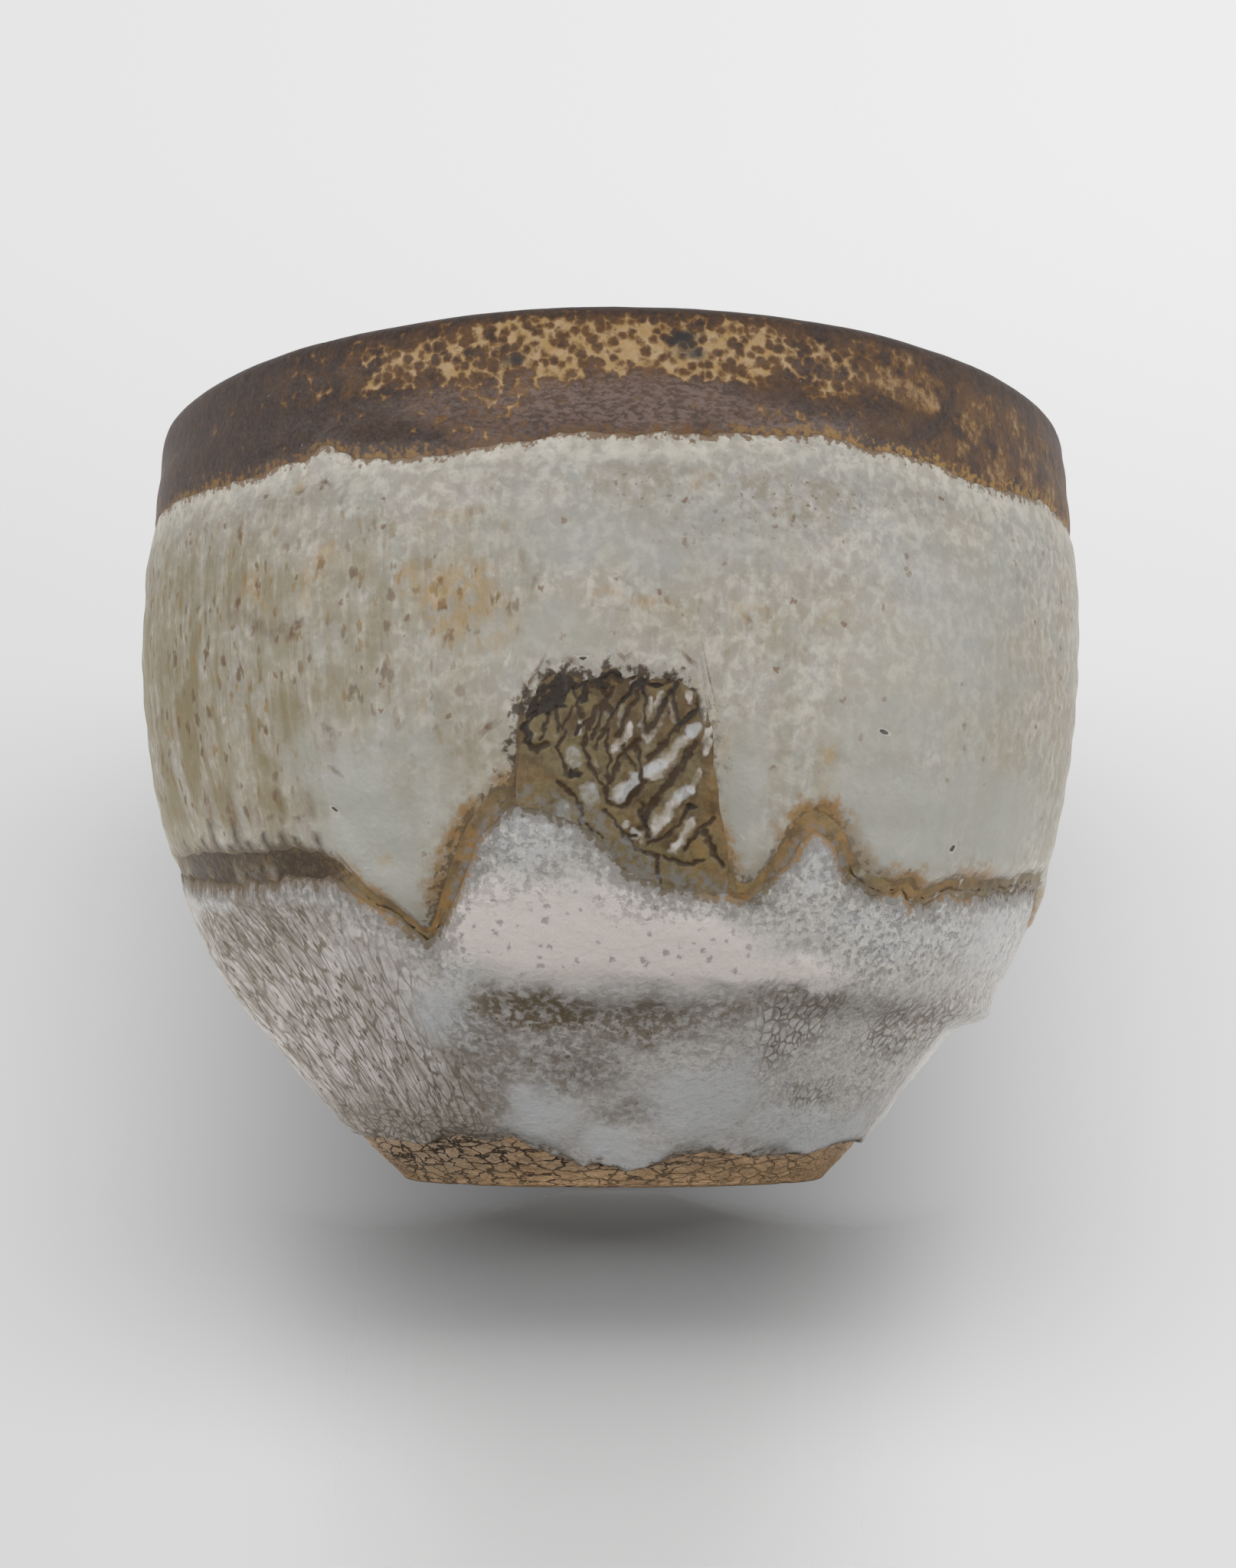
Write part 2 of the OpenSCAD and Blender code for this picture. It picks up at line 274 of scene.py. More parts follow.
WINDOW_TOP = [
    (-10.4, 0), (-9.9, 24.6), (-9.4, 27.0), (-8.9, 28.3), (-8.0, 29.3), (-6.4, 30.1), (-5, 30.5),
    (-3.4, 30.2), (-1.6, 30.4), (0.4, 30.3), (2.4, 30.5), (4.4, 30.5), (6, 30.3), (7.2, 29.7), (8.4, 29.3),
    (9.0, 28.3), (9.3, 27.0), (9.9, 25.4), (10.4, 24.0), (11, 22.5), (12.2, 20.7), (13.6, 19.0), (14, 0)]
FOOT_EDGE = [
    (-80, 3.1), (-60, 3.2), (-42.5, 3.0), (-33, 3.4), (-26, 3.2), (-20, 3.3), (-16, 2.5), (-11, 2.1),
    (-7, 1.5), (-3, 1.9), (3, 1.4), (8.4, 1.5), (14, 2.1), (25, 2.5), (34, 2.0), (45, 2.1), (56, 2.5),
    (66, 2.9), (80, 2.8), (100, 3.0), (118, 2.3), (135, 2.9), (152, 3.2), (170, 2.5), (-170, 2.0),
    (-155, 2.4), (-135, 3.1), (-115, 2.7), (-98, 3.3)]
SEAM_WIDTH = [
    (-85, 1.0), (-70, 1.6), (-58, 2.3), (-48, 2.1), (-40, 1.9), (-34, 1.1), (-27, 0.75), (-23, 0.5),
    (-19, 0.85), (-13, 1.2), (-8, 1.3), (0, 1.5), (6, 1.5), (12, 1.1), (17, 0.8), (23, 1.2), (30, 0.8),
    (40, 0.8), (55, 0.9), (80, 1.0), (110, 1.4), (150, 1.1), (-170, 1.5), (-130, 1.1)]
# Dark tongues over the seam: azimuth, foot, tip, half width in degrees
FLAMES = [
    (-58, 21.9, 23.4, 0.88), (-54.5, 21.6, 24.6, 0.83), (-51.6, 21.5, 22.7, 0.66), (-49.3, 21.5, 24, 0.83),
    (-46.8, 21.5, 22.9, 0.88), (-43.4, 21.4, 23.3, 1.04), (-41.1, 21.4, 23.8, 0.72),
    (-38.2, 21.5, 22.8, 0.77), (-35.5, 20.8, 23.2, 0.66), (-31.5, 19.6, 21.2, 0.55), (138, 21, 23.2, 0.88),
    (143, 22.2, 24.8, 0.83), (149, 22.8, 25, 0.99), (154, 21.6, 23.8, 0.77), (-118, 21.6, 24.2, 0.88),
    (-112, 21.2, 23.2, 0.83), (-107, 20, 22.6, 0.77), (-64, 22.2, 23.8, 0.83), (-71, 22.5, 24, 0.77)]
# Knife cuts: azimuth, lean in degrees, and depth and reach as shares of the deepest and the ledge's height
KNIFE_CUTS = [
    (-150, 39, 0.66, 1), (-104, 38, 0.7, 1.3), (-50, 38, 1, 1.5), (0, 40, 0.52, 1),
    (38, 39, 0.62, 1), (80, 38, 0.8, 0.96), (126, 39, 0.7, 1.1), (170, 39, 0.76, 1)]


def curve_between(a, b, c, d, count):
    t = np.linspace(0, 1, count)[:, None]
    a, b, c, d = (np.array(p, float) for p in (a, b, c, d))
    return (1 - t) ** 3 * a + 3 * t * (1 - t) ** 2 * b + 3 * t * t * (1 - t) * c + t ** 3 * d


class ThrownForm:
    """The clay's outline and what the hand and the knife did to it. All sizes are in mm."""

    def __init__(self, sizes):
        mm = {name: getattr(sizes, name) / MM for name in CupSizes.__annotations__ if name != "taper"}
        self.mm = mm
        lean = math.tan(sizes.taper)
        foot_top = mm["foot_radius"] + mm["foot_flare"]
        self.shoulder_r = foot_top + (mm["shoulder_height"] - mm["foot_height"]) * lean
        up = mm["belly_height"] - mm["shoulder_height"]
        belly = mm["belly_radius"]
        cone = curve_between(
            (self.shoulder_r, mm["shoulder_height"]),
            (self.shoulder_r + 0.16 * up * lean, mm["shoulder_height"] + 0.16 * up),
            (belly, mm["belly_height"] - 0.45 * up), (belly, mm["belly_height"]), 400)
        t = np.linspace(0, 1, 200)[1:]
        edge, top = mm["lip_edge"], mm["bowl_height"]
        neck = np.column_stack([
            belly - mm["lip_draw"] * t * t, mm["belly_height"] + (top - edge - mm["belly_height"]) * t])
        a = np.linspace(0, math.pi / 2, 30)
        lip_r = belly - mm["lip_draw"]
        lip_in = lip_r - mm["lip"]
        outer = np.column_stack([lip_r - edge * (1 - np.cos(a)), top - edge * (1 - np.sin(a))])[1:]
        inner = np.column_stack([lip_in + edge * (1 - np.sin(a)), top - edge * (1 - np.cos(a))])
        belly_in = belly - mm["wall"]
        self.well = mm["foot_height"] + mm["floor"]
        wall_top = mm["belly_height"] * 0.9
        well = curve_between(
            (belly_in, wall_top), (belly_in, self.well + 0.24 * (wall_top - self.well)),
            (belly_in * 0.54, self.well), (0, self.well), 600)
        foot = [(mm["foot_radius"], 0), (foot_top, mm["foot_height"])]
        line = np.concatenate([foot, cone, neck, outer, inner, well])
        step = np.hypot(*np.diff(line, axis=0).T)
        line = line[np.concatenate([[True], step > 1e-9])]
        along = np.concatenate([[0], np.cumsum(np.hypot(*np.diff(line, axis=0).T))])
        self.s = np.arange(0, along[-1], 0.05)
        self.s[-1] = along[-1]
        self.r, self.z = np.interp(self.s, along, line[:, 0]), np.interp(self.s, along, line[:, 1])
        dr, dz = np.gradient(self.r, self.s), np.gradient(self.z, self.s)
        size = np.hypot(dr, dz)
        self.nr, self.nz = dz / size, -dr / size
        self.lip_s = self.s[np.argmax(self.z)]
        self.end_s = self.s[-1]

    def outside(self, height):
        """Length along the outline at a height on the outer wall"""
        wall = self.s <= self.lip_s
        return np.interp(height, self.z[wall], self.s[wall])

    def inside(self, height):
        """Length along the outline at a height on the inner wall"""
        wall = self.s > self.lip_s + 1.7
        return np.interp(-height, -self.z[wall], self.s[wall])

    def height(self, s):
        return np.interp(s, self.s, self.z)

    def cut(self, azimuth, z, r):
        """How deep the trimming knife went at each point of the outer wall"""
        total = np.zeros(np.broadcast(azimuth, z).shape)
        for a, lean, share, reach in KNIFE_CUTS:
            start = self.shoulder_r - self.mm["cut_depth"] * share / math.cos(math.radians(lean))
            d = np.radians(turn(azimuth - a))
            plane = start + (z - self.mm["shoulder_height"]) * math.tan(math.radians(lean))
            plane = plane / np.maximum(np.cos(d), 0.3)
            soft = 0.9 if reach < 1.2 else 1.6
            top = self.mm["ledge_height"] * reach
            deep = np.clip(r - plane, 0, None) * rise(-z, -top - soft, -top + soft)
            total = np.where(np.abs(d) < 1.2, np.maximum(total, deep), total)
        return total

    def place(self, azimuth, s, lift):
        """Points in metres at azimuth and length along the outline, lifted square to the clay"""
        r, z = np.interp(s, self.s, self.r), np.interp(s, self.s, self.z)
        nr, nz = np.interp(s, self.s, self.nr), np.interp(s, self.s, self.nz)
        outer = s <= self.lip_s
        a = np.radians(azimuth)
        deep = np.where(outer, self.cut(azimuth, z, r), 0)
        ring = on_ring(azimuth, z)
        hand = WALL_WOBBLE * hills(ring, 13, 3) + WALL_LEAN * -np.sin(a) * np.exp(-((z - 33) / 10) ** 2)
        hand = hand + THROWING_RINGS * np.sin(z * 2.1 + 1.3 * np.sin(a)) * rise(z, 14, 20)
        hand = hand * rise(z, 3, 9) * rise(r, 2, 12)
        sway = LIP_SWAY * hills(on_ring(azimuth, 0 * z), 17, 9, 1) * rise(z, 46, 53)
        r = r - deep + nr * (lift + hand)
        z = z + nz * (lift + hand) + sway
        return np.stack([r * np.sin(a), -r * np.cos(a), z], -1) * MM


# Making meshes

def columns(count, front=0.62, half=85.0):
    """Azimuths of count columns, closer together over the front"""
    u = (np.arange(count) + 0.5) / count * 2 - 1
    back = half + (np.abs(u) - front) / (1 - front) * (180 - half)
    return np.where(np.abs(u) < front, u / front * half, np.sign(u) * back)


def rows_between(low, high, count, near=1.3, share=0.16):
    """Length along the outline at each row from low to high, with closer rows by both edges"""
    few = int(count * share)
    first = np.linspace(0, 1, few) ** 1.5 * near
    middle = np.linspace(0, 1, count - 2 * few + 2)[1:-1]
    low, high = low[:, None], high[:, None]
    return np.concatenate([
        low + first[None], low + near + (high - low - 2 * near) * middle[None], high - first[None, ::-1]], 1)


def from_edge(azimuth, s, edge, radius=33.0, reach=26):
    """Distance in mm of each grid point from an edge line that has one value per column"""
    x = np.radians(azimuth) * radius
    full = 2 * math.pi * radius
    best = np.full(s.shape, 9.0)
    for k in range(-reach, reach):
        ax, bx = np.roll(x, -k), np.roll(x, -k - 1)
        ay, by = np.roll(edge, -k), np.roll(edge, -k - 1)
        ax = (ax - x + full / 2) % full - full / 2
        bx = (bx - x + full / 2) % full - full / 2
        dx, dy = (bx - ax)[:, None], (by - ay)[:, None]
        px, py = -ax[:, None], s - ay[:, None]
        t = np.clip((px * dx + py * dy) / (dx * dx + dy * dy + 1e-9), 0, 1)
        best = np.minimum(best, np.hypot(px - t * dx, py - t * dy))
    return best


def fresh(name):
    piece = bpy.context.object
    piece.name = name
    piece.data.name = name
    return piece


def step_of(y, x, count):
    """Which of count steps round the circle each direction is nearest to"""
    return np.rint(np.arctan2(y, x) / (2 * math.pi) * count).astype(int) % count


def start_ring(name, around, across):
    """A torus as the start of a ring-shaped piece, with each corner's column and row"""
    bpy.ops.object.select_all(action="DESELECT")
    bpy.ops.mesh.primitive_torus_add(
        major_segments=around, minor_segments=across,
        major_radius=START_RADIUS, minor_radius=START_RADIUS / 3)
    piece = fresh(name)
    x, y, z = read_points(piece).T
    return piece, step_of(y, x, around), step_of(z, np.hypot(x, y) - START_RADIUS, across)


def start_ball(name, around, down):
    """A ball as the start of a bowl-shaped piece, with each corner's column and its row from the top pole"""
    bpy.ops.object.select_all(action="DESELECT")
    bpy.ops.mesh.primitive_uv_sphere_add(segments=around, ring_count=down, radius=START_RADIUS)
    piece = fresh(name)
    x, y, z = read_points(piece).T
    row = np.rint(np.arccos(np.clip(z / START_RADIUS, -1, 1)) / math.pi * down).astype(int)
    return piece, step_of(y, x, around), row


def read_points(piece):
    co = np.empty(len(piece.data.vertices) * 3)
    piece.data.vertices.foreach_get("co", co)
    return co.reshape(-1, 3)


def write_points(piece, points):
    piece.data.vertices.foreach_set("co", points.reshape(-1).astype(np.float32))
    piece.data.update()


def note(piece, name, values):
    """Writes named values onto the mesh's corners: a place of three numbers or a colour of four masks"""
    kind, field = ("FLOAT_VECTOR", "vector") if values.shape[-1] == 3 else ("FLOAT_COLOR", "color")
    layer = piece.data.attributes.new(name, kind, "POINT")
    layer.data.foreach_set(field, values.reshape(-1).astype(np.float32))


def masks(*values):
    return np.stack(np.broadcast_arrays(*[np.clip(v, 0, 1) for v in values]), -1)


def finish_piece(piece, node, slot, sharp=None):
    bpy.ops.object.select_all(action="DESELECT")
    piece.select_set(True)
    bpy.context.view_layer.objects.active = piece
    if sharp:
        bpy.ops.object.shade_smooth_by_angle(angle=math.radians(sharp))
    else:
        bpy.ops.object.shade_smooth()
    piece.data.materials.clear()
    piece.data.materials.append(fired(slot))
    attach(piece, "root")
    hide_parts(node)


def wrapped(azimuth, s):
    """Place on the unrolled surface, for patterns that follow the wall without a join"""
    return on_ring(azimuth, s, 30.0)


def round_edge(distance, size):
    """Height of a rounded glaze edge, 0 at the edge and 1 from size inwards"""
    t = 1 - np.clip(distance / size, 0, 1)
    return np.sqrt(1 - t * t)


def glaze_ring(name, form, azimuth, low, high, lift, outer_rows, inner_rows, sunk=0.05):
    """A closed ring of glaze between two edges, lifted by a function of place and edge distances.
    It returns the piece and, per mesh corner, azimuth, length along the outline and the edge distances."""
    piece, i, j = start_ring(name, len(azimuth), outer_rows + inner_rows)
    s = rows_between(low, high, outer_rows)
    back = np.linspace(1, 0, inner_rows + 2)[1:-1]
    s = np.concatenate([s, low[:, None] + (high - low)[:, None] * back[None]], 1)
    to_low, to_high = from_edge(azimuth, s, low), from_edge(azimuth, s, high)
    to_low[:, 0] = 0
    to_high[:, outer_rows - 1] = 0
    azimuths = np.broadcast_to(azimuth[:, None], s.shape)
    face = np.zeros(s.shape)
    face[:, :outer_rows] = 1
    height = form.height(s)
    lifted = np.where(face > 0, lift(azimuths, s, height, to_low, to_high), -sunk)
    points = form.place(azimuths, s, lifted)
    write_points(piece, points[i, j])
    note(piece, "wrap", wrapped(azimuths, s)[i, j])
    return piece, azimuths[i, j], s[i, j], to_low[i, j], to_high[i, j]


# Shader nodes

class Wire:
    """What comes out of a node, to be reckoned with like a number"""

    def __init__(self, bench, socket):
        self.bench, self.socket = bench, socket

    def __add__(self, other):
        return self.bench.math("ADD", self, other)

    def __radd__(self, other):
        return self.bench.math("ADD", other, self)

    def __sub__(self, other):
        return self.bench.math("SUBTRACT", self, other)

    def __rsub__(self, other):
        return self.bench.math("SUBTRACT", other, self)

    def __mul__(self, other):
        return self.bench.math("MULTIPLY", self, other)

    def __truediv__(self, other):
        return self.bench.math("DIVIDE", self, other)

    def __rtruediv__(self, other):
        return self.bench.math("DIVIDE", other, self)

    def __abs__(self):
        return self.bench.math("ABSOLUTE", self, 0.0)

    def band(self, low, high, start=0.0, end=1.0):
        """From start to end while the value goes from low to high, smooth between"""
        return self.bench.get("ShaderNodeMapRange", 0, {
            0: self, 1: low, 2: high, 3: start, 4: end}, interpolation_type="SMOOTHSTEP")

    def around(self, level, reach):
        """From 0 to 1 while the value goes from reach below the level to reach above it"""
        return self.band(level - reach, level + reach)

    def stretch(self, x, y, z):
        return self.vector("MULTIPLY", (x, y, z))

    def vector(self, kind, *values, **named):
        given = {0: self, **{k + 1: v for k, v in enumerate(values)}, **named}
        return self.bench.get("ShaderNodeVectorMath", 0, given, operation=kind)

    def split(self):
        """The three parts of a vector"""
        return self.bench.split("ShaderNodeSeparateXYZ", self)


class Bench:
    """Places and joins the nodes of one material or node group"""

    def __init__(self, tree):
        self.tree = tree

    def add(self, kind, inputs=None, **settings):
        node = self.tree.nodes.new(kind)
        for name, value in settings.items():
            setattr(node, name, value)
        for name, value in (inputs or {}).items():
            self.feed(node.inputs[name], value)
        return node

    def get(self, kind, output, inputs=None, **settings):
        return Wire(self, self.add(kind, inputs, **settings).outputs[output])

    def split(self, kind, value):
        return [Wire(self, part) for part in self.add(kind, {0: value}).outputs]

    def feed(self, socket, value):
        if isinstance(value, Wire):
            self.tree.links.new(value.socket, socket)
        elif socket.type == "RGBA":
            socket.default_value = (*value[:3], 1)
        else:
            socket.default_value = value

    def math(self, kind, a, b, clamp=False):
        return self.get("ShaderNodeMath", 0, {0: a, 1: b}, operation=kind, use_clamp=clamp)

    def most(self, a, b):
        return self.math("MAXIMUM", a, b)

    def without(self, a, b):
        """a where b is not"""
        return self.math("MULTIPLY", a, self.math("SUBTRACT", 1.0, b, True))

    def noise(self, vector, scale, detail=2.0, rough=0.55, distortion=0.0):
        return self.get("ShaderNodeTexNoise", 0, {
            "Vector": vector, "Scale": scale, "Detail": detail, "Roughness": rough, "Distortion": distortion})

    def drift(self, vector, scale, detail=2.0):
        """A colour of three noises, to move a pattern's place by"""
        return self.get("ShaderNodeTexNoise", 1, {"Vector": vector, "Scale": scale, "Detail": detail})

    def object_place(self):
        """Object coordinates in mm"""
        return self.get("ShaderNodeTexCoord", "Object").vector("SCALE", Scale=1 / MM)

    def painted(self, name):
        """The four masks that were noted on the mesh under a name"""
        node = self.add("ShaderNodeAttribute", attribute_name=name)
        parts = self.split("ShaderNodeSeparateColor", Wire(self, node.outputs["Color"]))
        return [*parts, Wire(self, node.outputs["Alpha"])]

    def finish(self, kind, surface):
        """The tree's output"""
        self.add(kind, {"Surface": surface})


class Effect(Bench):
    """A node group with one output, whose inputs are its numbers: those without a value are places"""

    def __init__(self, name, inputs, output="Mask"):
        super().__init__(bpy.data.node_groups.new(name, "ShaderNodeTree"))
        for key, value in inputs.items():
            kind = "NodeSocketVector" if value is None else "NodeSocketFloat"
            socket = self.tree.interface.new_socket(key, in_out="INPUT", socket_type=kind)
            if value is not None:
                socket.default_value = value
        self.tree.interface.new_socket(output, in_out="OUTPUT", socket_type="NodeSocketFloat")
        entry = self.add("NodeGroupInput")
        self.given = [Wire(self, entry.outputs[key]) for key in inputs]

    def give(self, value):
        self.add("NodeGroupOutput", {0: value})


def clouds_effect(name):
    """Soft blotches of a size in mm, cut at a level"""
    effect = Effect(name, {"Place": None, "Size": 6.0, "Level": 0.5, "Softness": 0.2})
    place, size, level, softness = effect.given
    effect.give(effect.noise(place, 1.0 / size, 4.0, 0.58, 0.3).around(level, softness))


def specks_effect(name):
    """Scattered round specks: their spacing and radius in mm, and the share of places that hold one"""
    effect = Effect(name, {"Place": None, "Spacing": 1.0, "Radius": 0.2, "Share": 0.5})
    place, spacing, radius, share = effect.given
    moved = effect.drift(place, 3.0).vector("MULTIPLY_ADD", (0.6, 0.6, 0.6), place)
    distance, colour, *_ = (Wire(effect, part) for part in effect.add(
        "ShaderNodeTexVoronoi", {"Vector": moved, "Scale": 1.0 / spacing}, feature="F1").outputs)
    reach = radius / spacing
    chance = effect.split("ShaderNodeSeparateColor", colour)[0]
    effect.give(distance.band(reach, reach * 0.45) * effect.math("LESS_THAN", chance, share))


def crackle_effect(name):
    """A net of lines: spacing and width in mm, how much the lines wander and how far they are broken up"""
    effect = Effect(name, {"Place": None, "Spacing": 1.0, "Width": 0.1, "Wander": 0.3, "Broken": 0.4})
    place, spacing, width, wander, broken = effect.given
    lean = effect.drift(place, 1.1, 3.0).vector("SUBTRACT", (0.5, 0.5, 0.5)).vector("SCALE", Scale=wander)
    edge = effect.get("ShaderNodeTexVoronoi", "Distance", {
        "Vector": lean.vector("ADD", place), "Scale": 1.0 / spacing}, feature="DISTANCE_TO_EDGE")
    half = width / spacing
    gaps = effect.noise(place, 0.9, 3.0, 0.6)
    effect.give(edge.band(half, half * 0.25) * gaps.band(broken - 0.14, broken + 0.1))


def streaks_effect(name):
    """Thin lines that ran down the wall: width and length in mm, cut at a level"""
    effect = Effect(name, {"Wall": None, "Width": 0.5, "Length": 5.0, "Level": 0.5, "Softness": 0.1})
    wall, width, length, level, softness = effect.given
    across = 1.0 / width
    scale = effect.get("ShaderNodeCombineXYZ", 0, {0: across, 1: across, 2: 1.0 / length})
    effect.give(effect.noise(wall.vector("MULTIPLY", scale), 1.0, 3.0, 0.62, 0.35).around(level, softness))


def grain_effect(name):
    """Fine relief of fired glaze or clay"""
    effect = Effect(name, {"Place": None, "Coarse": 1.0, "Fine": 0.25}, "Height")
    place, coarse, fine = effect.given
    effect.give(effect.noise(place, 1.0 / coarse) + effect.noise(place, 1.0 / fine) * 0.3)


def ragged_effect(name):
    """A band along an edge, from the distance to the edge in mm, that breaks up into lumps of a size"""
    effect = Effect(name, {"Place": None, "Distance": 0.0, "Size": 0.6, "Reach": 0.8, "Raggedness": 0.5})
    place, distance, size, reach, raggedness = effect.given
    push = (effect.noise(place, 1.0 / size, 3.0, 0.62) - 0.5) * EDGE_REACH * raggedness
    effect.give((distance * EDGE_REACH + push).band(reach, reach * 0.35))


EFFECTS = {"Clouds": clouds_effect, "Specks": specks_effect, "Crackle net": crackle_effect,
           "Run streaks": streaks_effect, "Fired grain": grain_effect, "Ragged edge": ragged_effect}


class Coat(Bench):
    """The nodes of one fired material, with its colour laid on in turns"""

    def __init__(self, tree):
        super().__init__(tree)
        colours = bpy.context.scene.cup_colours
        self.paint = {key: tuple(getattr(colours, key)) for key in CupColours.__annotations__}
        self.place = self.object_place()
        self.wall = self.get("ShaderNodeAttribute", "Vector", attribute_name="wrap")
        self.colour = None

    def mix(self, base, over, amount):
        """Two colours mixed, each a node's or one of the cup's colours by name"""
        base, over = (self.paint[c] if isinstance(c, str) else c for c in (base, over))
        return self.get("ShaderNodeMix", 2, {0: amount, 6: base, 7: over}, data_type="RGBA")

    def lay(self, over, amount):
        """Lays a colour over what is there"""
        self.colour = self.mix(self.colour, over, amount)

    def effect(self, name, **values):
        """The output of a node group that is built once and shared by all materials"""
        if name not in bpy.data.node_groups:
            EFFECTS[name](name)
        return self.get("ShaderNodeGroup", 0, values, node_tree=bpy.data.node_groups[name])

    def clouds(self, size, level, softness, place=None):
        return self.effect("Clouds", Place=place or self.place, Size=size, Level=level, Softness=softness)

    def specks(self, spacing, radius, share, place=None):
        return self.effect("Specks", Place=place or self.place, Spacing=spacing, Radius=radius, Share=share)

    def crackle(self, spacing, width, wander, broken, place=None):
        return self.effect("Crackle net", Place=place or self.place, Spacing=spacing, Width=width,
                           Wander=wander, Broken=broken)

    def streaks(self, width, length, level, softness):
        return self.effect("Run streaks", Wall=self.wall, Width=width, Length=length, Level=level,
                           Softness=softness)

    def ragged(self, distance, size, reach, raggedness):
        return self.effect("Ragged edge", Place=self.place, Distance=distance, Size=size, Reach=reach,
                           Raggedness=raggedness)

    def grain(self, coarse, fine):
        return self.effect("Fired grain", Place=self.place, Coarse=coarse, Fine=fine)


def fired(slot):
    """A slot's material, made once. Its recipe lays the colour on and returns roughness and height."""
    gloss, relief, build = FIRED[slot]
    name = "fired_" + slot
    if name in bpy.data.materials:
        return bpy.data.materials[name]
    material, tree = empty_material(name)
    coat = Coat(tree)
    rough, height = build(coat)
    bump = coat.get("ShaderNodeBump", 0, {"Height": height, "Strength": 1.0, "Distance": relief * MM})
    coat.finish("ShaderNodeOutputMaterial", coat.get("ShaderNodeBsdfPrincipled", 0, {
        "Base Color": coat.colour, "Roughness": rough, "Normal": bump,
        "Specular IOR Level": gloss, "IOR": 1.5}))
    return material


def empty_material(name):
    material = bpy.data.materials.new(name)
    material.use_nodes = True
    material.node_tree.nodes.clear()
    return material, material.node_tree


def upper_glaze(coat):
    """Grey-white coat with thin olive places, dashes that ran down, specks, stains and milky runs"""
    thin, stain, milk, cloud = coat.painted("tone")
    warm, opening, pit, dark = coat.painted("trace")
    below, above, flame, lick = coat.painted("edge")
    coat.colour = coat.mix("stone", "haze", coat.clouds(6.0, 0.5, 0.12))
    free = 1.0 - milk * 0.8
    pale = coat.clouds(0.9, 0.52, 0.12)
    rosy = coat.clouds(2.4, 0.52, 0.1, place=coat.place.stretch(-1.0, 1.0, 0.8))
    coat.lay("lilac", rosy * free * 0.5)
    coat.lay("cream", pale * (0.2 + free) * 0.45)
    grain = coat.clouds(0.42, 0.53, 0.12, place=coat.place.stretch(1.0, 1.0, 0.8))
    coat.lay("film", grain * (0.4 + free) * 0.24)
    soft = coat.streaks(1.7, 9.0, 0.5, 0.1)
    blotch = coat.clouds(2.6, 0.48, 0.14)
    film = thin * (soft * 0.4 + 0.22 + blotch * 0.42)
    up = coat.place.split()[2]
    low = up.band(38.0, 25.0) * (0.14 + soft * 0.2)
    coat.lay("olive", coat.math("ADD", film * 0.9, low, clamp=True))
    lines = coat.streaks(0.5, 4.5, 0.53, 0.08) * thin * free
    coat.lay("olive", lines * 0.5)
    coat.lay("milk", milk * 0.75)
    dashes = coat.specks(0.66, 0.24, 0.75, place=coat.wall.stretch(1.0, 1.0, 0.42))
    blots = coat.specks(1.15, 0.34, 0.6, place=coat.wall.stretch(1.0, 1.0, 0.6))
    where = coat.math("ADD", thin * 1.35, stain * 0.5, clamp=True) * free
    coat.lay(coat.mix("net", "ochre", blotch * 0.55), dashes * where * 0.9)
    spot = coat.mix("rust", "umber", 0.35)
    coat.lay(spot, blots * where * 0.85)
    seeds = coat.specks(0.5, 0.15, 0.5)
    lace = coat.most(cloud * 0.8, above.band(0.7, 0.1) * 0.3)
    blur = coat.clouds(0.8, 0.5, 0.1)
    coat.lay("cream", above.band(0.75, 0.1) * (0.35 + pale * 0.4))
    coat.lay("lilac", cloud * 0.35)
    coat.lay("olive", blur * lace * 0.6)
    coat.lay("net", seeds * lace * 0.75)
    coat.lay("rust", coat.specks(1.4, 0.26, 0.4) * free * 0.75)
    patch = coat.clouds(0.75, 0.5, 0.1, place=coat.place.stretch(1.0, 1.0, 0.7))
    coat.lay("ochre", stain * (patch + 0.05) * 0.55)
    coat.lay("rust", stain * blots * 0.5)
    ragged = coat.clouds(0.4, 0.48, 0.14)
    coat.lay(spot, dark * (ragged * 0.5 + 0.45))
    # the lower edge: amber where the run is thick, brown round the crawled window and over the old seam
    coat.lay("net", coat.streaks(0.85, 3.4, 0.52, 0.06) * below.band(0.5, 0.1) * flame * 0.45)
    coat.lay("rust", below.band(0.26, 0.0) * (flame * (0.45 + ragged * 0.35)))
    coat.lay(coat.mix("umber", "olive", 0.15), lick * (0.8 + ragged * 0.2))
    coat.lay("amber", coat.ragged(below, 0.9, 1.5, 0.9) * warm * 0.9)
    coat.lay("net", coat.ragged(below, 0.5, 0.6, 0.7) * (0.8 + milk * -0.35))
    coat.lay("umber", coat.ragged(below, 0.7, 1.1, 1.1) * opening * 0.9)
    coat.lay("rust", coat.ragged(above, 0.5, 0.42, 0.55) * 0.8)
    coat.lay("cream", pit.band(0.2, 0.4) * 0.35)
    coat.lay("clay_dark", pit.band(0.42, 0.56) * 0.95)
    rough = 0.52 + milk * -0.1
    height = coat.grain(1.2, 0.28) * 0.8 + lines * -0.25 + seeds * lace * -0.35
    return rough, height


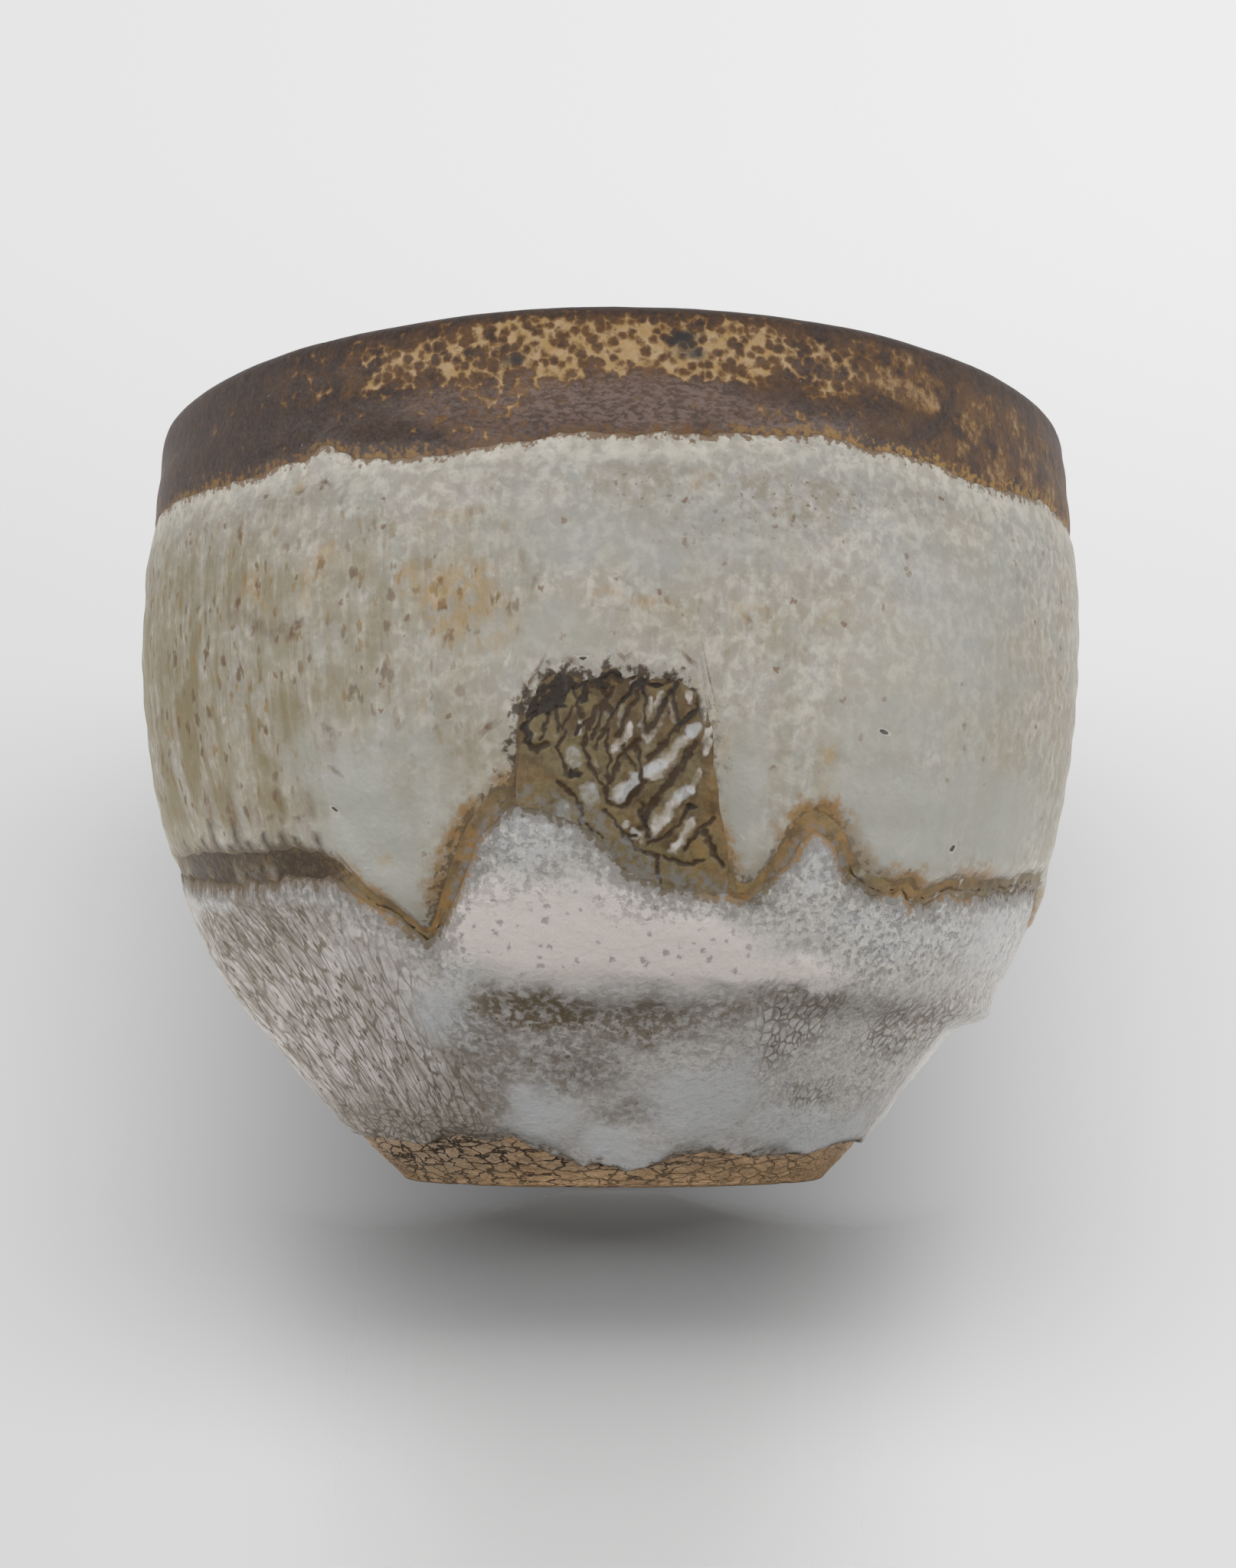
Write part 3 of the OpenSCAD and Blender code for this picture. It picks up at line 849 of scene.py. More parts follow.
def lower_glaze(coat):
    """White coat of the cone: pink band, granules, brown net, frosty patches and fine crackle"""
    net, granule, blush, olive = coat.painted("tone")
    frost, foot, lattice_zone, warm = coat.painted("trace")
    below, above, flame, _ = coat.painted("edge")
    soft = coat.clouds(2.2, 0.5, 0.16)
    coat.colour = coat.mix("chalk", "lilac", soft * 0.5)
    fine = coat.clouds(0.42, 0.5, 0.12)
    free = coat.without(1.0, blush * 0.92)
    coat.lay("granule", fine * free * 0.36)
    coat.lay("blush", net * 0.6)
    coat.lay("blush", blush)
    coat.lay("frost", frost * (0.5 + fine * 0.4))
    free = coat.without(free, frost * 0.6)
    # olive-brown fringe and speckle
    mottle = coat.clouds(0.55, 0.48, 0.09)
    wash = coat.clouds(1.8, 0.5, 0.2)
    coat.lay("net", olive * free * (0.12 + wash * 0.4))
    coat.lay("net", olive * mottle * 0.9)
    dust = coat.specks(0.55, 0.14, 0.5)
    coat.lay("net", dust * (free * (0.4 + olive)) * 0.75)
    # granules
    small = coat.clouds(0.5, 0.55, 0.07)
    big = coat.specks(1.0, 0.26, 0.35)
    grains = coat.most(small * 0.75, big * 0.8) * granule
    coat.lay("granule", grains * 0.85)
    white = coat.clouds(0.45, 0.56, 0.07, place=coat.place.stretch(-1.0, 1.0, 1.0))
    coat.lay("cream", white * granule * 0.5)
    coat.lay("granule", coat.specks(0.95, 0.27, 0.8) * blush * 0.6)
    # brown net whose long lines follow the slope
    bricks = coat.crackle(1.05, 0.1, 0.6, 0.42, place=coat.wall.stretch(1.1, 1.1, 0.4))
    short = coat.specks(0.66, 0.25, 0.65, place=coat.wall.stretch(1.1, 1.1, 0.62))
    lines = coat.most(bricks * 0.8, short) * (net * free)
    haze = coat.clouds(1.3, 0.5, 0.12, place=coat.wall.stretch(1.0, 1.0, 0.6))
    coat.lay("net", haze * (net * free) * 0.48)
    coat.lay("net", lines * 0.95)
    # diamond crackle: two sets of slanting lines
    slant = coat.get(
        "ShaderNodeMapping", 0, {"Vector": coat.wall.stretch(1.2, 1.2, 1.0), "Rotation": (0.0, 0.8, 0.0)})
    diamonds = coat.crackle(0.85, 0.15, 0.35, 0.42, place=slant) * lattice_zone
    coat.lay("net", diamonds * 0.68)
    # ragged edges: grey-brown by the seam, smoked by the clay
    coat.lay(coat.mix("granule", "net", 0.3), coat.ragged(above, 0.6, 1.5, 1.2) * 0.6)
    coat.lay("net", coat.streaks(0.4, 2.6, 0.5, 0.07) * above.band(0.5, 0.1) * flame * 0.75)
    coat.lay("rust", above.band(0.24, 0.0) * (flame * (0.3 + mottle * 0.4)))
    coat.lay(coat.mix("net", "amber", warm), coat.ragged(above, 0.5, 0.5, 0.6) * 0.8)
    ragged = coat.clouds(0.4, 0.5, 0.1)
    cracks = coat.crackle(0.9, 0.13, 0.9, 0.36, place=coat.wall.stretch(0.62, 0.62, 1.5))
    rim = coat.ragged(below, 0.7, 0.85, 0.7)
    coat.lay("film", coat.most(rim * 0.85, foot * (0.35 + ragged * 0.35)))
    coat.lay("clay_dark", cracks * coat.most(foot, rim) * 0.55)
    coat.lay("clay_dark", coat.specks(2.0, 0.13, 0.35) * granule * 0.7)
    rough = 0.55 + blush * -0.17 + foot * 0.25
    height = coat.grain(0.7, 0.2) + lines * -0.4 + diamonds * -0.4 + grains * -0.5
    return rough, height


def iron_glaze(coat):
    """Dark iron glaze with a tan net round dark spots, a grey tint with a painted sheen, and blue-black spots
    """
    tan, painted_sheen, night, fine_net = coat.painted("tone")
    below, above, amber_edge, _ = coat.painted("edge")
    soft = coat.clouds(1.6, 0.5, 0.2)
    grain = coat.clouds(0.3, 0.5, 0.14)
    coat.colour = coat.mix("iron", "rust", soft * 0.55 * (tan + 0.3))
    coat.lay("slate", grain * 0.16)
    speckle = coat.clouds(0.36, 0.5, 0.08, place=coat.place.stretch(0.7, 0.7, 1.4))
    # painted sheen: the slate tint laid where the lip's glaze shows a metallic sheen, over the glaze's own
    # grey
    coat.lay("slate", painted_sheen * (0.25 + speckle * 0.6))
    bent = coat.drift(coat.place, 1.7).vector("MULTIPLY_ADD", (0.5, 0.5, 0.5), coat.place)
    spots = coat.get(
        "ShaderNodeTexVoronoi", "Distance", {"Vector": bent, "Scale": 1.65, "Randomness": 0.9},
        feature="F1")
    uneven = coat.noise(coat.place, 1.5, 4.0, 0.7)
    spots = spots + (uneven - 0.5) * 0.75
    crumbs = coat.noise(coat.place.stretch(1.0, 1.0, 0.8), 1.9, 4.0, 0.72)
    spots = coat.get("ShaderNodeMix", 0, {0: fine_net, 2: spots, 3: crumbs}, data_type="FLOAT")
    patchy = coat.noise(coat.place, 0.45, 4.0, 0.65).band(0.36, 0.62)
    amount = tan * (0.62 + patchy * 0.45)
    level = amount.band(0.02, 1.1, 0.95, 0.34)
    over = spots - level
    rusty = over.band(-0.2, 0.06)
    light = over.band(-0.04, 0.34)
    coat.lay("rust", rusty * 0.8)
    glow = coat.clouds(0.7, 0.5, 0.16)
    buff = coat.mix("ochre", "tan", 0.35 + glow * 0.65)
    coat.lay(buff, light * 0.95)
    coat.lay("night", night)
    coat.lay("rust", coat.ragged(below, 0.5, 1.3, 0.7) * 0.85)
    coat.lay("ochre", coat.ragged(below, 0.5, 1.2, 1.2) * amber_edge * 0.7)
    coat.lay("rust", coat.ragged(above, 0.6, 1.2, 0.6) * 0.85)
    coat.lay("cream", coat.specks(1.3, 0.1, 0.18) * 0.3)
    rough = 0.5 + light * 0.08
    height = coat.grain(0.9, 0.2) + light * 0.3
    return rough, height


def thin_glaze(coat):
    """Iron-stained thin glaze: brown film, dark strokes, cream and blue-white cells"""
    line, deep, cold, film = coat.painted("tone")
    warm, cell, granular, _ = coat.painted("trace")
    soft = coat.clouds(0.9, 0.5, 0.16)
    fine = coat.clouds(0.36, 0.5, 0.14)
    loose = (coat.noise(coat.place, 2.4, 4.0, 0.65) - 0.5) * 1.6
    coat.colour = coat.mix("net", "olive", soft * 0.8)
    coat.lay("rust", fine * 0.45)
    brown = coat.clouds(0.8, 0.52, 0.1, place=coat.place.stretch(-1.0, 1.0, 0.7))
    coat.lay("umber", brown * 0.5)
    uneven = coat.noise(coat.place, 0.9, 3.0, 0.6).band(0.38, 0.62)
    coat.lay("amber", warm * (0.15 + uneven * 0.75))
    pale = coat.mix("blush", "stone", soft)
    open_cell = (cell + loose * 0.6).band(0.25, 0.95)
    coat.lay(pale, open_cell * 0.85)
    coat.lay("frost", (cold + loose * 0.7).band(0.2, 1.1) * 0.7)
    coat.lay("olive", film * (0.25 + fine * 0.5))
    stroke = (line + loose).band(0.05, 0.95)
    coat.lay("umber", stroke * 0.95)
    black = (deep + loose).band(0.25, 0.8)
    coat.lay("clay_dark", black * 0.95)
    grey = coat.clouds(0.5, 0.5, 0.1)
    coat.lay("granule", granular * grey * 0.8)
    rough = 0.5 + cell * 0.05
    height = coat.grain(0.6, 0.2) + line * -0.4
    return rough, height


def lining_glaze(coat):
    """Grey-white glaze inside, streaked down the wall, with a crackled pool in the well"""
    thin, pool, fringe, _ = coat.painted("tone")
    coat.colour = coat.mix("stone", "haze", coat.clouds(6.0, 0.5, 0.12))
    pale = coat.clouds(0.9, 0.52, 0.12)
    coat.lay("cream", pale * 0.4)
    grain = coat.clouds(0.42, 0.53, 0.12)
    coat.lay("film", grain * 0.13)
    fine = coat.streaks(0.8, 6.0, 0.55, 0.12)
    coat.lay("olive", fine * thin * 0.5)
    dashes = coat.specks(0.85, 0.2, 0.35, place=coat.wall.stretch(1.0, 1.0, 0.45))
    coat.lay("net", dashes * thin * 0.6)
    coat.lay("milk", pool * 0.75)
    coat.lay("net", coat.crackle(2.6, 0.07, 1.0, 0.3) * pool * 0.55)
    seeds = coat.specks(0.6, 0.16, 0.45)
    coat.lay("net", seeds * (fringe * 0.7 + thin * 0.3) * 0.6)
    coat.lay("rust", coat.specks(2.4, 0.24, 0.25) * 0.6)
    ragged = coat.clouds(0.5, 0.5, 0.1)
    coat.lay("rust", fringe.band(0.75, 1.0) * (ragged * 0.8))
    rough = 0.5 + pool * -0.14
    height = coat.grain(1.3, 0.3) * 0.8 + fine * -0.15
    return rough, height


def bare_clay(coat):
    """Bare fired clay: tan, smoked in places, with dark cracks and fine grog"""
    film, crack_zone, worn, _ = coat.painted("tone")
    soft = coat.clouds(1.2, 0.5, 0.16, place=coat.place.stretch(0.6, 0.6, 1.5))
    coat.colour = coat.mix("clay", "rust", soft * 0.5)
    grog = coat.clouds(0.3, 0.52, 0.1)
    coat.lay("clay_dark", grog * 0.25)
    pale = coat.clouds(0.5, 0.56, 0.08, place=coat.place.stretch(-1.0, 1.0, 1.6))
    coat.lay("tan", pale * 0.5)
    smoke = film * (0.6 + grog * 0.4)
    coat.lay("film", smoke * 0.85)
    cracks = coat.crackle(1.25, 0.1, 1.5, 0.36, place=coat.wall.stretch(0.4, 0.4, 1.5)) * crack_zone
    coat.lay("clay_dark", cracks * 0.95)
    coat.lay("tan", worn * (0.25 + soft * 0.4))
    coat.lay("umber", coat.specks(0.9, 0.14, 0.35) * 0.7)
    rough = 0.8 + worn * -0.1
    height = coat.grain(0.5, 0.18) * 1.4 + cracks * -1.2
    return rough, height


# Each slot's gloss, relief in mm and recipe
FIRED = {
    "clay": (0.25, 0.14, bare_clay), "white_glaze_upper": (0.35, 0.12, upper_glaze),
    "white_glaze_lower": (0.3, 0.12, lower_glaze), "iron_glaze": (0.3, 0.1, iron_glaze),
    "thin_glaze": (0.22, 0.08, thin_glaze), "lining_glaze": (0.45, 0.12, lining_glaze)}


# The pieces

def edges(form):
    """The glaze edges as heights at STEPS"""
    ring = on_ring(STEPS, 0 * STEPS)
    iron = ring_line(IRON_EDGE, 0.5) + 0.2 * hills(ring, 0.9, 21, 3) + 0.14 * hills(ring, 0.32, 25, 1)
    iron_in = ring_line(IRON_EDGE_INSIDE, 1.5) + 0.25 * hills(ring, 1.4, 22, 3)
    runs = ring_line(RUNS, 0.5) + 0.16 * hills(ring, 1.1, 23, 2) + 0.1 * hills(ring, 0.35, 28, 1)
    window = np.interp(STEPS, *np.array(WINDOW_TOP, float).T, left=0, right=0)
    window = window + 0.45 * hills(ring, 0.7, 24, 2) * (window > 28)
    width = ring_line(SEAM_WIDTH, 1.5)
    lower = drawn_back(runs, 0.75 * width) + 0.3 * hills(ring, 0.8, 26, 3) + 0.16 * hills(ring, 0.33, 29, 1)
    foot = ring_line(FOOT_EDGE, 0.6) + 0.14 * hills(ring, 1.0, 27, 3)
    return {"iron": iron, "iron_in": iron_in, "runs": runs, "window": window, "lower": lower, "foot": foot}


PINHOLES = [
    (-10, 31.8, 0.26), (-6, 32.4, 0.14), (-3, 31.9, 0.13), (-11, 29.9, 0.13), (-41, 25.7, 0.15),
    (-41, 24.4, 0.14), (-41, 23.7, 0.13), (-32, 23.9, 0.15), (-32.3, 20.3, 0.17), (-29, 20.3, 0.17),
    (34, 23.5, 0.15), (37, 23.6, 0.16), (36, 21.9, 0.14), (43, 21.9, 0.18), (14, 21.8, 0.14),
    (18, 20.8, 0.15), (15, 32.8, 0.17), (-47, 30.2, 0.14), (-22, 25.1, 0.13), (30, 28.4, 0.12),
    (52, 27.3, 0.13), (-27, 31.5, 0.12), (105, 30, 0.2), (131, 26, 0.18), (160, 34, 0.16), (-150, 29, 0.2),
    (-120, 33, 0.16), (-95, 27, 0.15), (178, 24, 0.18), (-171, 39, 0.14)]


def make_upper_coat(form, line):
    azimuth = columns(800)
    runs, window = at(line["runs"], azimuth), at(line["window"], azimuth)
    low = form.outside(np.maximum(runs, window))
    high = form.outside(at(line["iron"], azimuth))
    heavy = rise(-runs, -21.5, -18.0) * (window < 1)
    mm = form.mm

    def lift(a, s, z, to_low, to_high):
        full = mm["coat"] * (0.45 + 0.55 * rise(to_low, 0, 1.2)) * round_edge(to_low, 0.35)
        tip = at_columns(heavy, a, azimuth)
        full = full + mm["bead"] * tip * np.exp(-((to_low - 1.3) / 1.2) ** 2) * rise(to_low, 0, 0.8)
        by_window = at_columns((window > 1) * 1.0, a, azimuth)
        full = full * (1 - 0.5 * by_window * np.exp(-(to_low / 1.1) ** 2))
        top = 0.30 + (mm["coat"] - 0.30) * rise(to_high, 0, 3.0)
        full = np.minimum(full, top + mm["bead"]) * round_edge(to_high, 0.1)
        full = full * np.where(to_high < 3.0, top / mm["coat"], 1)
        ring = on_ring(a, z)
        swell = 0.05 * hills(ring, 4.5, 31) + 0.025 * hills(ring, 1.3, 32)
        full = full + swell * rise(to_low, 0.2, 1) * rise(to_high, 0.2, 1)
        return full - 0.22 * rise(dots(a, z, PINHOLES, 33), 0.35, 0.75)

    piece, a, s, to_low, to_high = glaze_ring(
        "upper_coat", form, azimuth, low, high, lift, outer_rows=110, inner_rows=14)
    z = form.height(s)
    ring = on_ring(a, z)
    aw, zw = a + 3.0 * hills(ring, 5, 33), z + 1.2 * hills(ring, 4, 34)
    thin = marks(aw, zw, [
        (-66, 34, 22, 11, 1), (-45, 34.5, 12, 7, 0.85), (-58, 27, 16, 4, 0.75), (-37, 31, 8, 6, 0.8),
        (-27, 35, 7, 7, 0.6), (-75, 27, 14, 8, 0.7), (-16, 36, 8, 3.5, 0.5), (-40, 40.5, 16, 2.5, 0.35),
        (12, 35, 12, 3.2, 0.22), (60, 34, 16, 8, 0.18), (-112, 34, 20, 9, 0.6), (150, 32, 18, 9, 0.7),
        (-150, 31, 16, 9, 0.6), (104, 37, 12, 7, 0.35), (-48, 24.2, 14, 1.6, 0.6),
        (-160, 41, 22, 2.5, 0.4), (122, 28, 10, 5, 0.4), (-20, 29.5, 6, 4, 0.35)])
    stain = marks(aw, zw, [
        (-15, 34.8, 2.6, 2.4, 0.9), (-19, 36.6, 1.6, 1.5, 0.7), (-12, 32.9, 2, 1, 0.5),
        (-34, 38.6, 1.4, 1.6, 0.7), (-41, 37.5, 2.4, 1, 0.6), (-2, 34.5, 1.8, 0.6, 0.55),
        (4, 35, 2.4, 0.6, 0.6), (12, 34.7, 1.6, 0.5, 0.5), (21, 35.1, 2, 0.5, 0.5),
        (24, 26.4, 1.2, 0.9, 0.9), (23.6, 25.0, 1.6, 1.3, 0.45), (-25, 21, 0.8, 0.5, 0.8),
        (10.6, 28.6, 1.8, 2.2, 0.4), (-35, 43.7, 0.8, 0.6, 0.8), (-20, 31, 1.2, 1.5, 0.4),
        (140, 33, 4, 3, 0.8), (-160, 34, 5, 3, 0.7), (-128, 30, 3, 4, 0.6), (112, 26, 3, 2, 0.6),
        (-17, 40.5, 3, 1, 0.4), (9, 42.8, 2, 0.5, 0.4)])
    milk = marks(aw, zw, [
        (-27, 22.5, 8, 4, 1), (-24, 19, 4, 3, 1), (13.5, 23, 3.6, 4.6, 1), (34, 23.2, 10, 3.8, 1),
        (-33, 26.5, 6, 2.6, 0.75), (30, 28, 8, 4, 0.6), (2, 39, 16, 2.6, 0.4), (-8, 33, 6, 1.6, 0.6),
        (50, 24, 12, 4, 0.8), (-22, 26, 5, 3, 0.6), (84, 21, 7, 4, 1), (128, 22, 6, 4, 1),
        (168, 21, 7, 4.5, 1), (-145, 22, 7, 4, 1), (-98, 22, 7, 4, 1), (40, 34, 14, 7, 0.4),
        (150, 40, 14, 3, 0.4)])
    cloud = marks(aw, zw, [
        (19, 42, 8, 1.5, 1), (4, 42.4, 6, 1.2, 0.7), (11, 40, 8, 1.4, 0.5), (33, 42.8, 8, 1.3, 0.5),
        (-12, 42.5, 6, 1, 0.4), (-40, 43.2, 12, 1.2, 0.35), (130, 41.5, 14, 1.8, 0.7),
        (-140, 42, 14, 1.5, 0.6), (25, 37, 10, 1.6, 0.25)])
    note(piece, "tone", masks(thin, stain, milk, cloud))
    by_window = (np.abs(turn(a - 0.5)) < 13) & (z > 25.2) & (z < 34)
    opening = by_window * (1 - 0.5 * rise(a, 6, 9) * rise(-z, -30.5, -29))
    warm = marks(aw, zw, [
        (-19, 21.5, 3.4, 4, 1), (-29, 19.5, 4, 2.5, 0.9), (-12, 24.6, 3, 1, 0.9), (23, 23.4, 6, 3, 1),
        (12.5, 20.6, 3, 2.5, 1), (37, 19.6, 3, 2, 0.9), (47, 20, 4, 1.5, 0.8), (31, 20.4, 3, 1, 0.5),
        (130, 20, 18, 4, 0.8), (-150, 20, 18, 4, 0.8), (84, 19, 8, 3, 0.7)], 0.6)
    spots = dots(a, z, [
        (-42, 35.7, 0.22), (-40.6, 35.4, 0.24), (-39.2, 35.9, 0.2), (-38, 35.1, 0.26), (-36.6, 35.5, 0.22),
        (-35.2, 34.6, 0.26), (-34, 35.2, 0.22), (-44, 36.2, 0.2), (-34, 43.6, 0.26), (-28, 42.8, 0.3),
        (-25, 42.6, 0.26), (-31, 43.9, 0.18), (-25, 21.0, 0.26), (-13, 28, 0.26), (8.2, 29.9, 0.22),
        (-54, 24.2, 0.3), (-49, 24.0, 0.32), (-42, 23.8, 0.28), (-37, 23.5, 0.26), (-31, 28.6, 0.24),
        (-31.3, 27.9, 0.24), (-37, 28.5, 0.22), (-25, 27.8, 0.2), (-31, 26.2, 0.2), (12, 33.1, 0.16),
        (-7.3, 31.3, 0.2), (1.4, 31.9, 0.22), (4.8, 32.0, 0.2), (-3.9, 31.8, 0.2), (7.4, 31.9, 0.22),
        (9.8, 30.8, 0.22), (2.6, 32.9, 0.14), (-8.6, 30.5, 0.24), (-9.7, 29.1, 0.26), (-10, 27.5, 0.2)], 33)
    dark = rise(spots + 0.16 * hills(ring, 0.4, 37), 0.45, 0.62)
    runs_up = marks(aw, zw, [
        (-42, 35.9, 1.4, 0.5, 0.9), (-39.5, 35.3, 1.4, 0.5, 0.9), (-37, 35.8, 1.6, 0.5, 0.8),
        (-35, 34.8, 1.2, 0.6, 0.7), (-45, 36.3, 1, 0.5, 0.6), (-54, 24.4, 0.7, 1.6, 1),
        (-49, 24.2, 0.6, 1.8, 1), (-42, 24, 0.6, 1.5, 0.9), (-37, 23.6, 0.5, 1.2, 0.8),
        (-60, 24.4, 0.6, 1.2, 0.6), (-46, 23.6, 0.5, 1.2, 0.6), (-31.2, 28, 0.5, 1.8, 0.7)], 0.8)
    note(piece, "trace", masks(warm, opening, dots(a, z, PINHOLES, 33), np.maximum(dark, 0.8 * runs_up)))
    flame = marks(a, z, [
        (-57, 22, 18, 5, 1), (-38, 21.5, 5, 4, 0.7), (148, 21, 14, 5, 0.9), (-112, 21, 12, 5, 0.8),
        (58, 21, 5, 3, 0.3)], 0.5)
    lick = flames(a + 0.5 * hills(ring, 0.8, 38), z + 0.25 * hills(ring, 0.6, 39), FLAMES)
    note(piece, "edge", masks(to_low / EDGE_REACH, to_high / EDGE_REACH, flame, lick))
    finish_piece(piece, "upper_glaze_coat", "white_glaze_upper")


def at_columns(values, a, azimuth):
    return np.interp(a, azimuth, values, period=360)


def make_lower_coat(form, line):
    azimuth = columns(800)
    top, foot = at(line["lower"], azimuth), at(line["foot"], azimuth)
    low, high = form.outside(foot), form.outside(top)
    mm = form.mm
    blush_table = [
        (-5, 16.2, 16, 2.7, 1), (-12, 17.4, 8, 2, 1), (8, 15.2, 12, 1.9, 1), (19, 14.4, 12, 1.1, 1),
        (28, 13.9, 7, 0.7, 0.8)]
    frost_table = [
        (-23, 11.2, 5.5, 1.9, 1), (-19, 13.6, 4, 1.1, 0.7), (17, 6.2, 9, 2.3, 0.9), (-12, 5.6, 6, 1.8, 1),
        (-16, 4.2, 4, 1.1, 0.8), (1, 3.3, 7, 1.3, 1), (8, 2.6, 5, 1, 0.7), (47, 3.9, 14, 1.5, 1),
        (34, 4.4, 8, 1.1, 0.8), (-62, 20.2, 9, 1.2, 0.8), (-42, 19.0, 10, 0.9, 0.7),
        (40, 17.2, 12, 2, 0.6), (60, 17, 10, 3, 0.7), (24, 20.4, 3, 1.6, 0.7), (-9, 21.6, 6, 1.4, 0.7),
        (110, 12, 16, 5, 0.7), (140, 6, 12, 3, 0.8), (175, 12, 14, 4, 0.7), (-140, 8, 14, 4, 0.7),
        (-110, 15, 10, 3, 0.6)]

    def lift(a, s, z, to_low, to_high):
        ring = on_ring(a, z)
        aw, zw = a + 2 * hills(ring, 4, 41), z + 0.5 * hills(ring, 3, 42)
        thick = marks(aw, zw, blush_table, 0.3)
        slow = hills(on_ring(a, 0 * z), 7, 43, 1) - 0.3 * np.cos(np.radians(a - 10))
        fade = 0.35 + 2.0 * rise(slow, -0.5, 0.3)
        full = mm["coat"] * (0.12 + 0.88 * rise(to_low, 0, fade)) * round_edge(to_low, 0.25)
        full = full * (0.55 + 0.45 * rise(to_high, 0, 1.1)) * round_edge(to_high, 0.25)
        full = full + 0.26 * thick * rise(to_high, 0, 0.8)
        full = full + 0.10 * marks(aw, zw, frost_table, 0.35) * rise(to_low, 0.1, 0.7)
        roll = np.exp(-((z - 12.5) / 0.8) ** 2) * rise(np.abs(turn(a - 82)), 34, 12)
        full = full + 0.62 * roll
        inner = rise(to_low, 0.2, 1) * rise(to_high, 0.2, 1)
        return full + inner * (0.05 * hills(ring, 3.2, 44) + 0.03 * hills(ring, 0.9, 45))

    piece, a, s, to_low, to_high = glaze_ring(
        "lower_coat", form, azimuth, low, high, lift, outer_rows=104, inner_rows=14)
    z = form.height(s)
    ring = on_ring(a, z)
    aw, zw = a + 2.4 * hills(ring, 4, 46), z + 0.7 * hills(ring, 3, 47)
    net = marks(aw, zw, [
        (-58, 13, 30, 8, 1), (-42, 8, 17, 6, 1), (-72, 9, 24, 9, 1), (-32, 6, 9, 4, 0.9),
        (-33, 13, 8, 3.4, 0.8), (-90, 10, 20, 7, 0.8), (60, 12, 10, 3, 0.25), (130, 13, 14, 5, 0.6),
        (-160, 12, 18, 5, 0.8), (160, 7, 14, 4, 0.6)])
    granule = marks(aw, zw, [
        (40, 16.4, 15, 3.6, 1), (23, 18.4, 9, 2.2, 0.9), (-11, 20.4, 8, 2.4, 0.8), (6, 18, 7, 1.6, 0.7),
        (-20, 14.4, 5, 1.8, 0.6), (54, 10, 14, 4, 0.8), (-38, 17.4, 14, 1.6, 0.6), (-60, 19, 12, 1.8, 0.6),
        (40, 8, 16, 4, 0.6), (70, 14, 14, 6, 0.8), (100, 14, 16, 5, 0.9), (-120, 14, 16, 5, 0.8),
        (180, 15, 16, 4, 0.8), (14, 9.4, 8, 2, 0.5), (-5, 9, 10, 2, 0.5)])
    blush = marks(aw, zw, blush_table, 0.3)
    olive = marks(aw, zw, [
        (-9, 11.6, 9, 1.3, 1), (-19, 9.4, 6, 2.2, 0.6), (4, 11, 9, 1.3, 0.8), (-7, 8.7, 9, 2.2, 0.6),
        (14, 11.9, 6, 0.9, 0.6), (-24, 6.6, 6, 2.2, 0.5), (24, 12.4, 8, 0.7, 0.5),
        (40, 11.8, 10, 0.8, 0.35), (-52, 17.6, 16, 1.6, 0.5), (-66, 15, 10, 3, 0.3), (5, 5.6, 6, 1, 0.4),
        (120, 10, 10, 2, 0.7), (-150, 15.5, 12, 1.6, 0.7), (150, 14, 10, 1.4, 0.6)])
    note(piece, "tone", masks(net, granule, blush, olive * (1 - blush)))
    frost = marks(aw, zw, frost_table, 0.4)
    smoked = marks(aw, zw, [
        (-48, 3.6, 26, 2.0, 1), (-30, 4.2, 9, 1.4, 0.9), (-60, 4.5, 20, 2, 0.6), (66, 3, 12, 0.7, 0.7),
        (150, 3.5, 16, 1.4, 0.9), (-110, 3.4, 16, 1.2, 0.8)])
    lattice_zone = marks(aw, zw, [
        (27, 10.9, 8, 3, 1), (38, 6.4, 6, 0.9, 0.8), (49, 10.9, 8, 1.7, 1), (58, 10.6, 6, 2, 0.8),
        (-125, 9, 10, 3, 0.8), (105, 8, 9, 3, 0.8)])
    warm = marks(aw, zw, [
        (-18, 20, 3, 3, 1), (-29, 18.5, 4, 2, 0.9), (23, 22.4, 5, 3, 1), (13, 19.4, 4, 1.5, 0.9),
        (37, 18.6, 3, 2, 0.9), (47, 19, 5, 1.5, 0.7), (130, 19, 18, 4, 0.7), (-150, 19, 18, 4, 0.7)], 0.6)
    note(piece, "trace", masks(frost, smoked, lattice_zone * (1 - blush), warm))
    flame = marks(a, z, [
        (-57, 19, 18, 5, 1), (-38, 18.5, 5, 4, 0.7), (148, 18, 14, 5, 0.9), (-112, 18, 12, 5, 0.8)], 0.5)
    note(piece, "edge", masks(to_low / EDGE_REACH, to_high / EDGE_REACH, flame, 0))
    finish_piece(piece, "lower_glaze_coat", "white_glaze_lower")


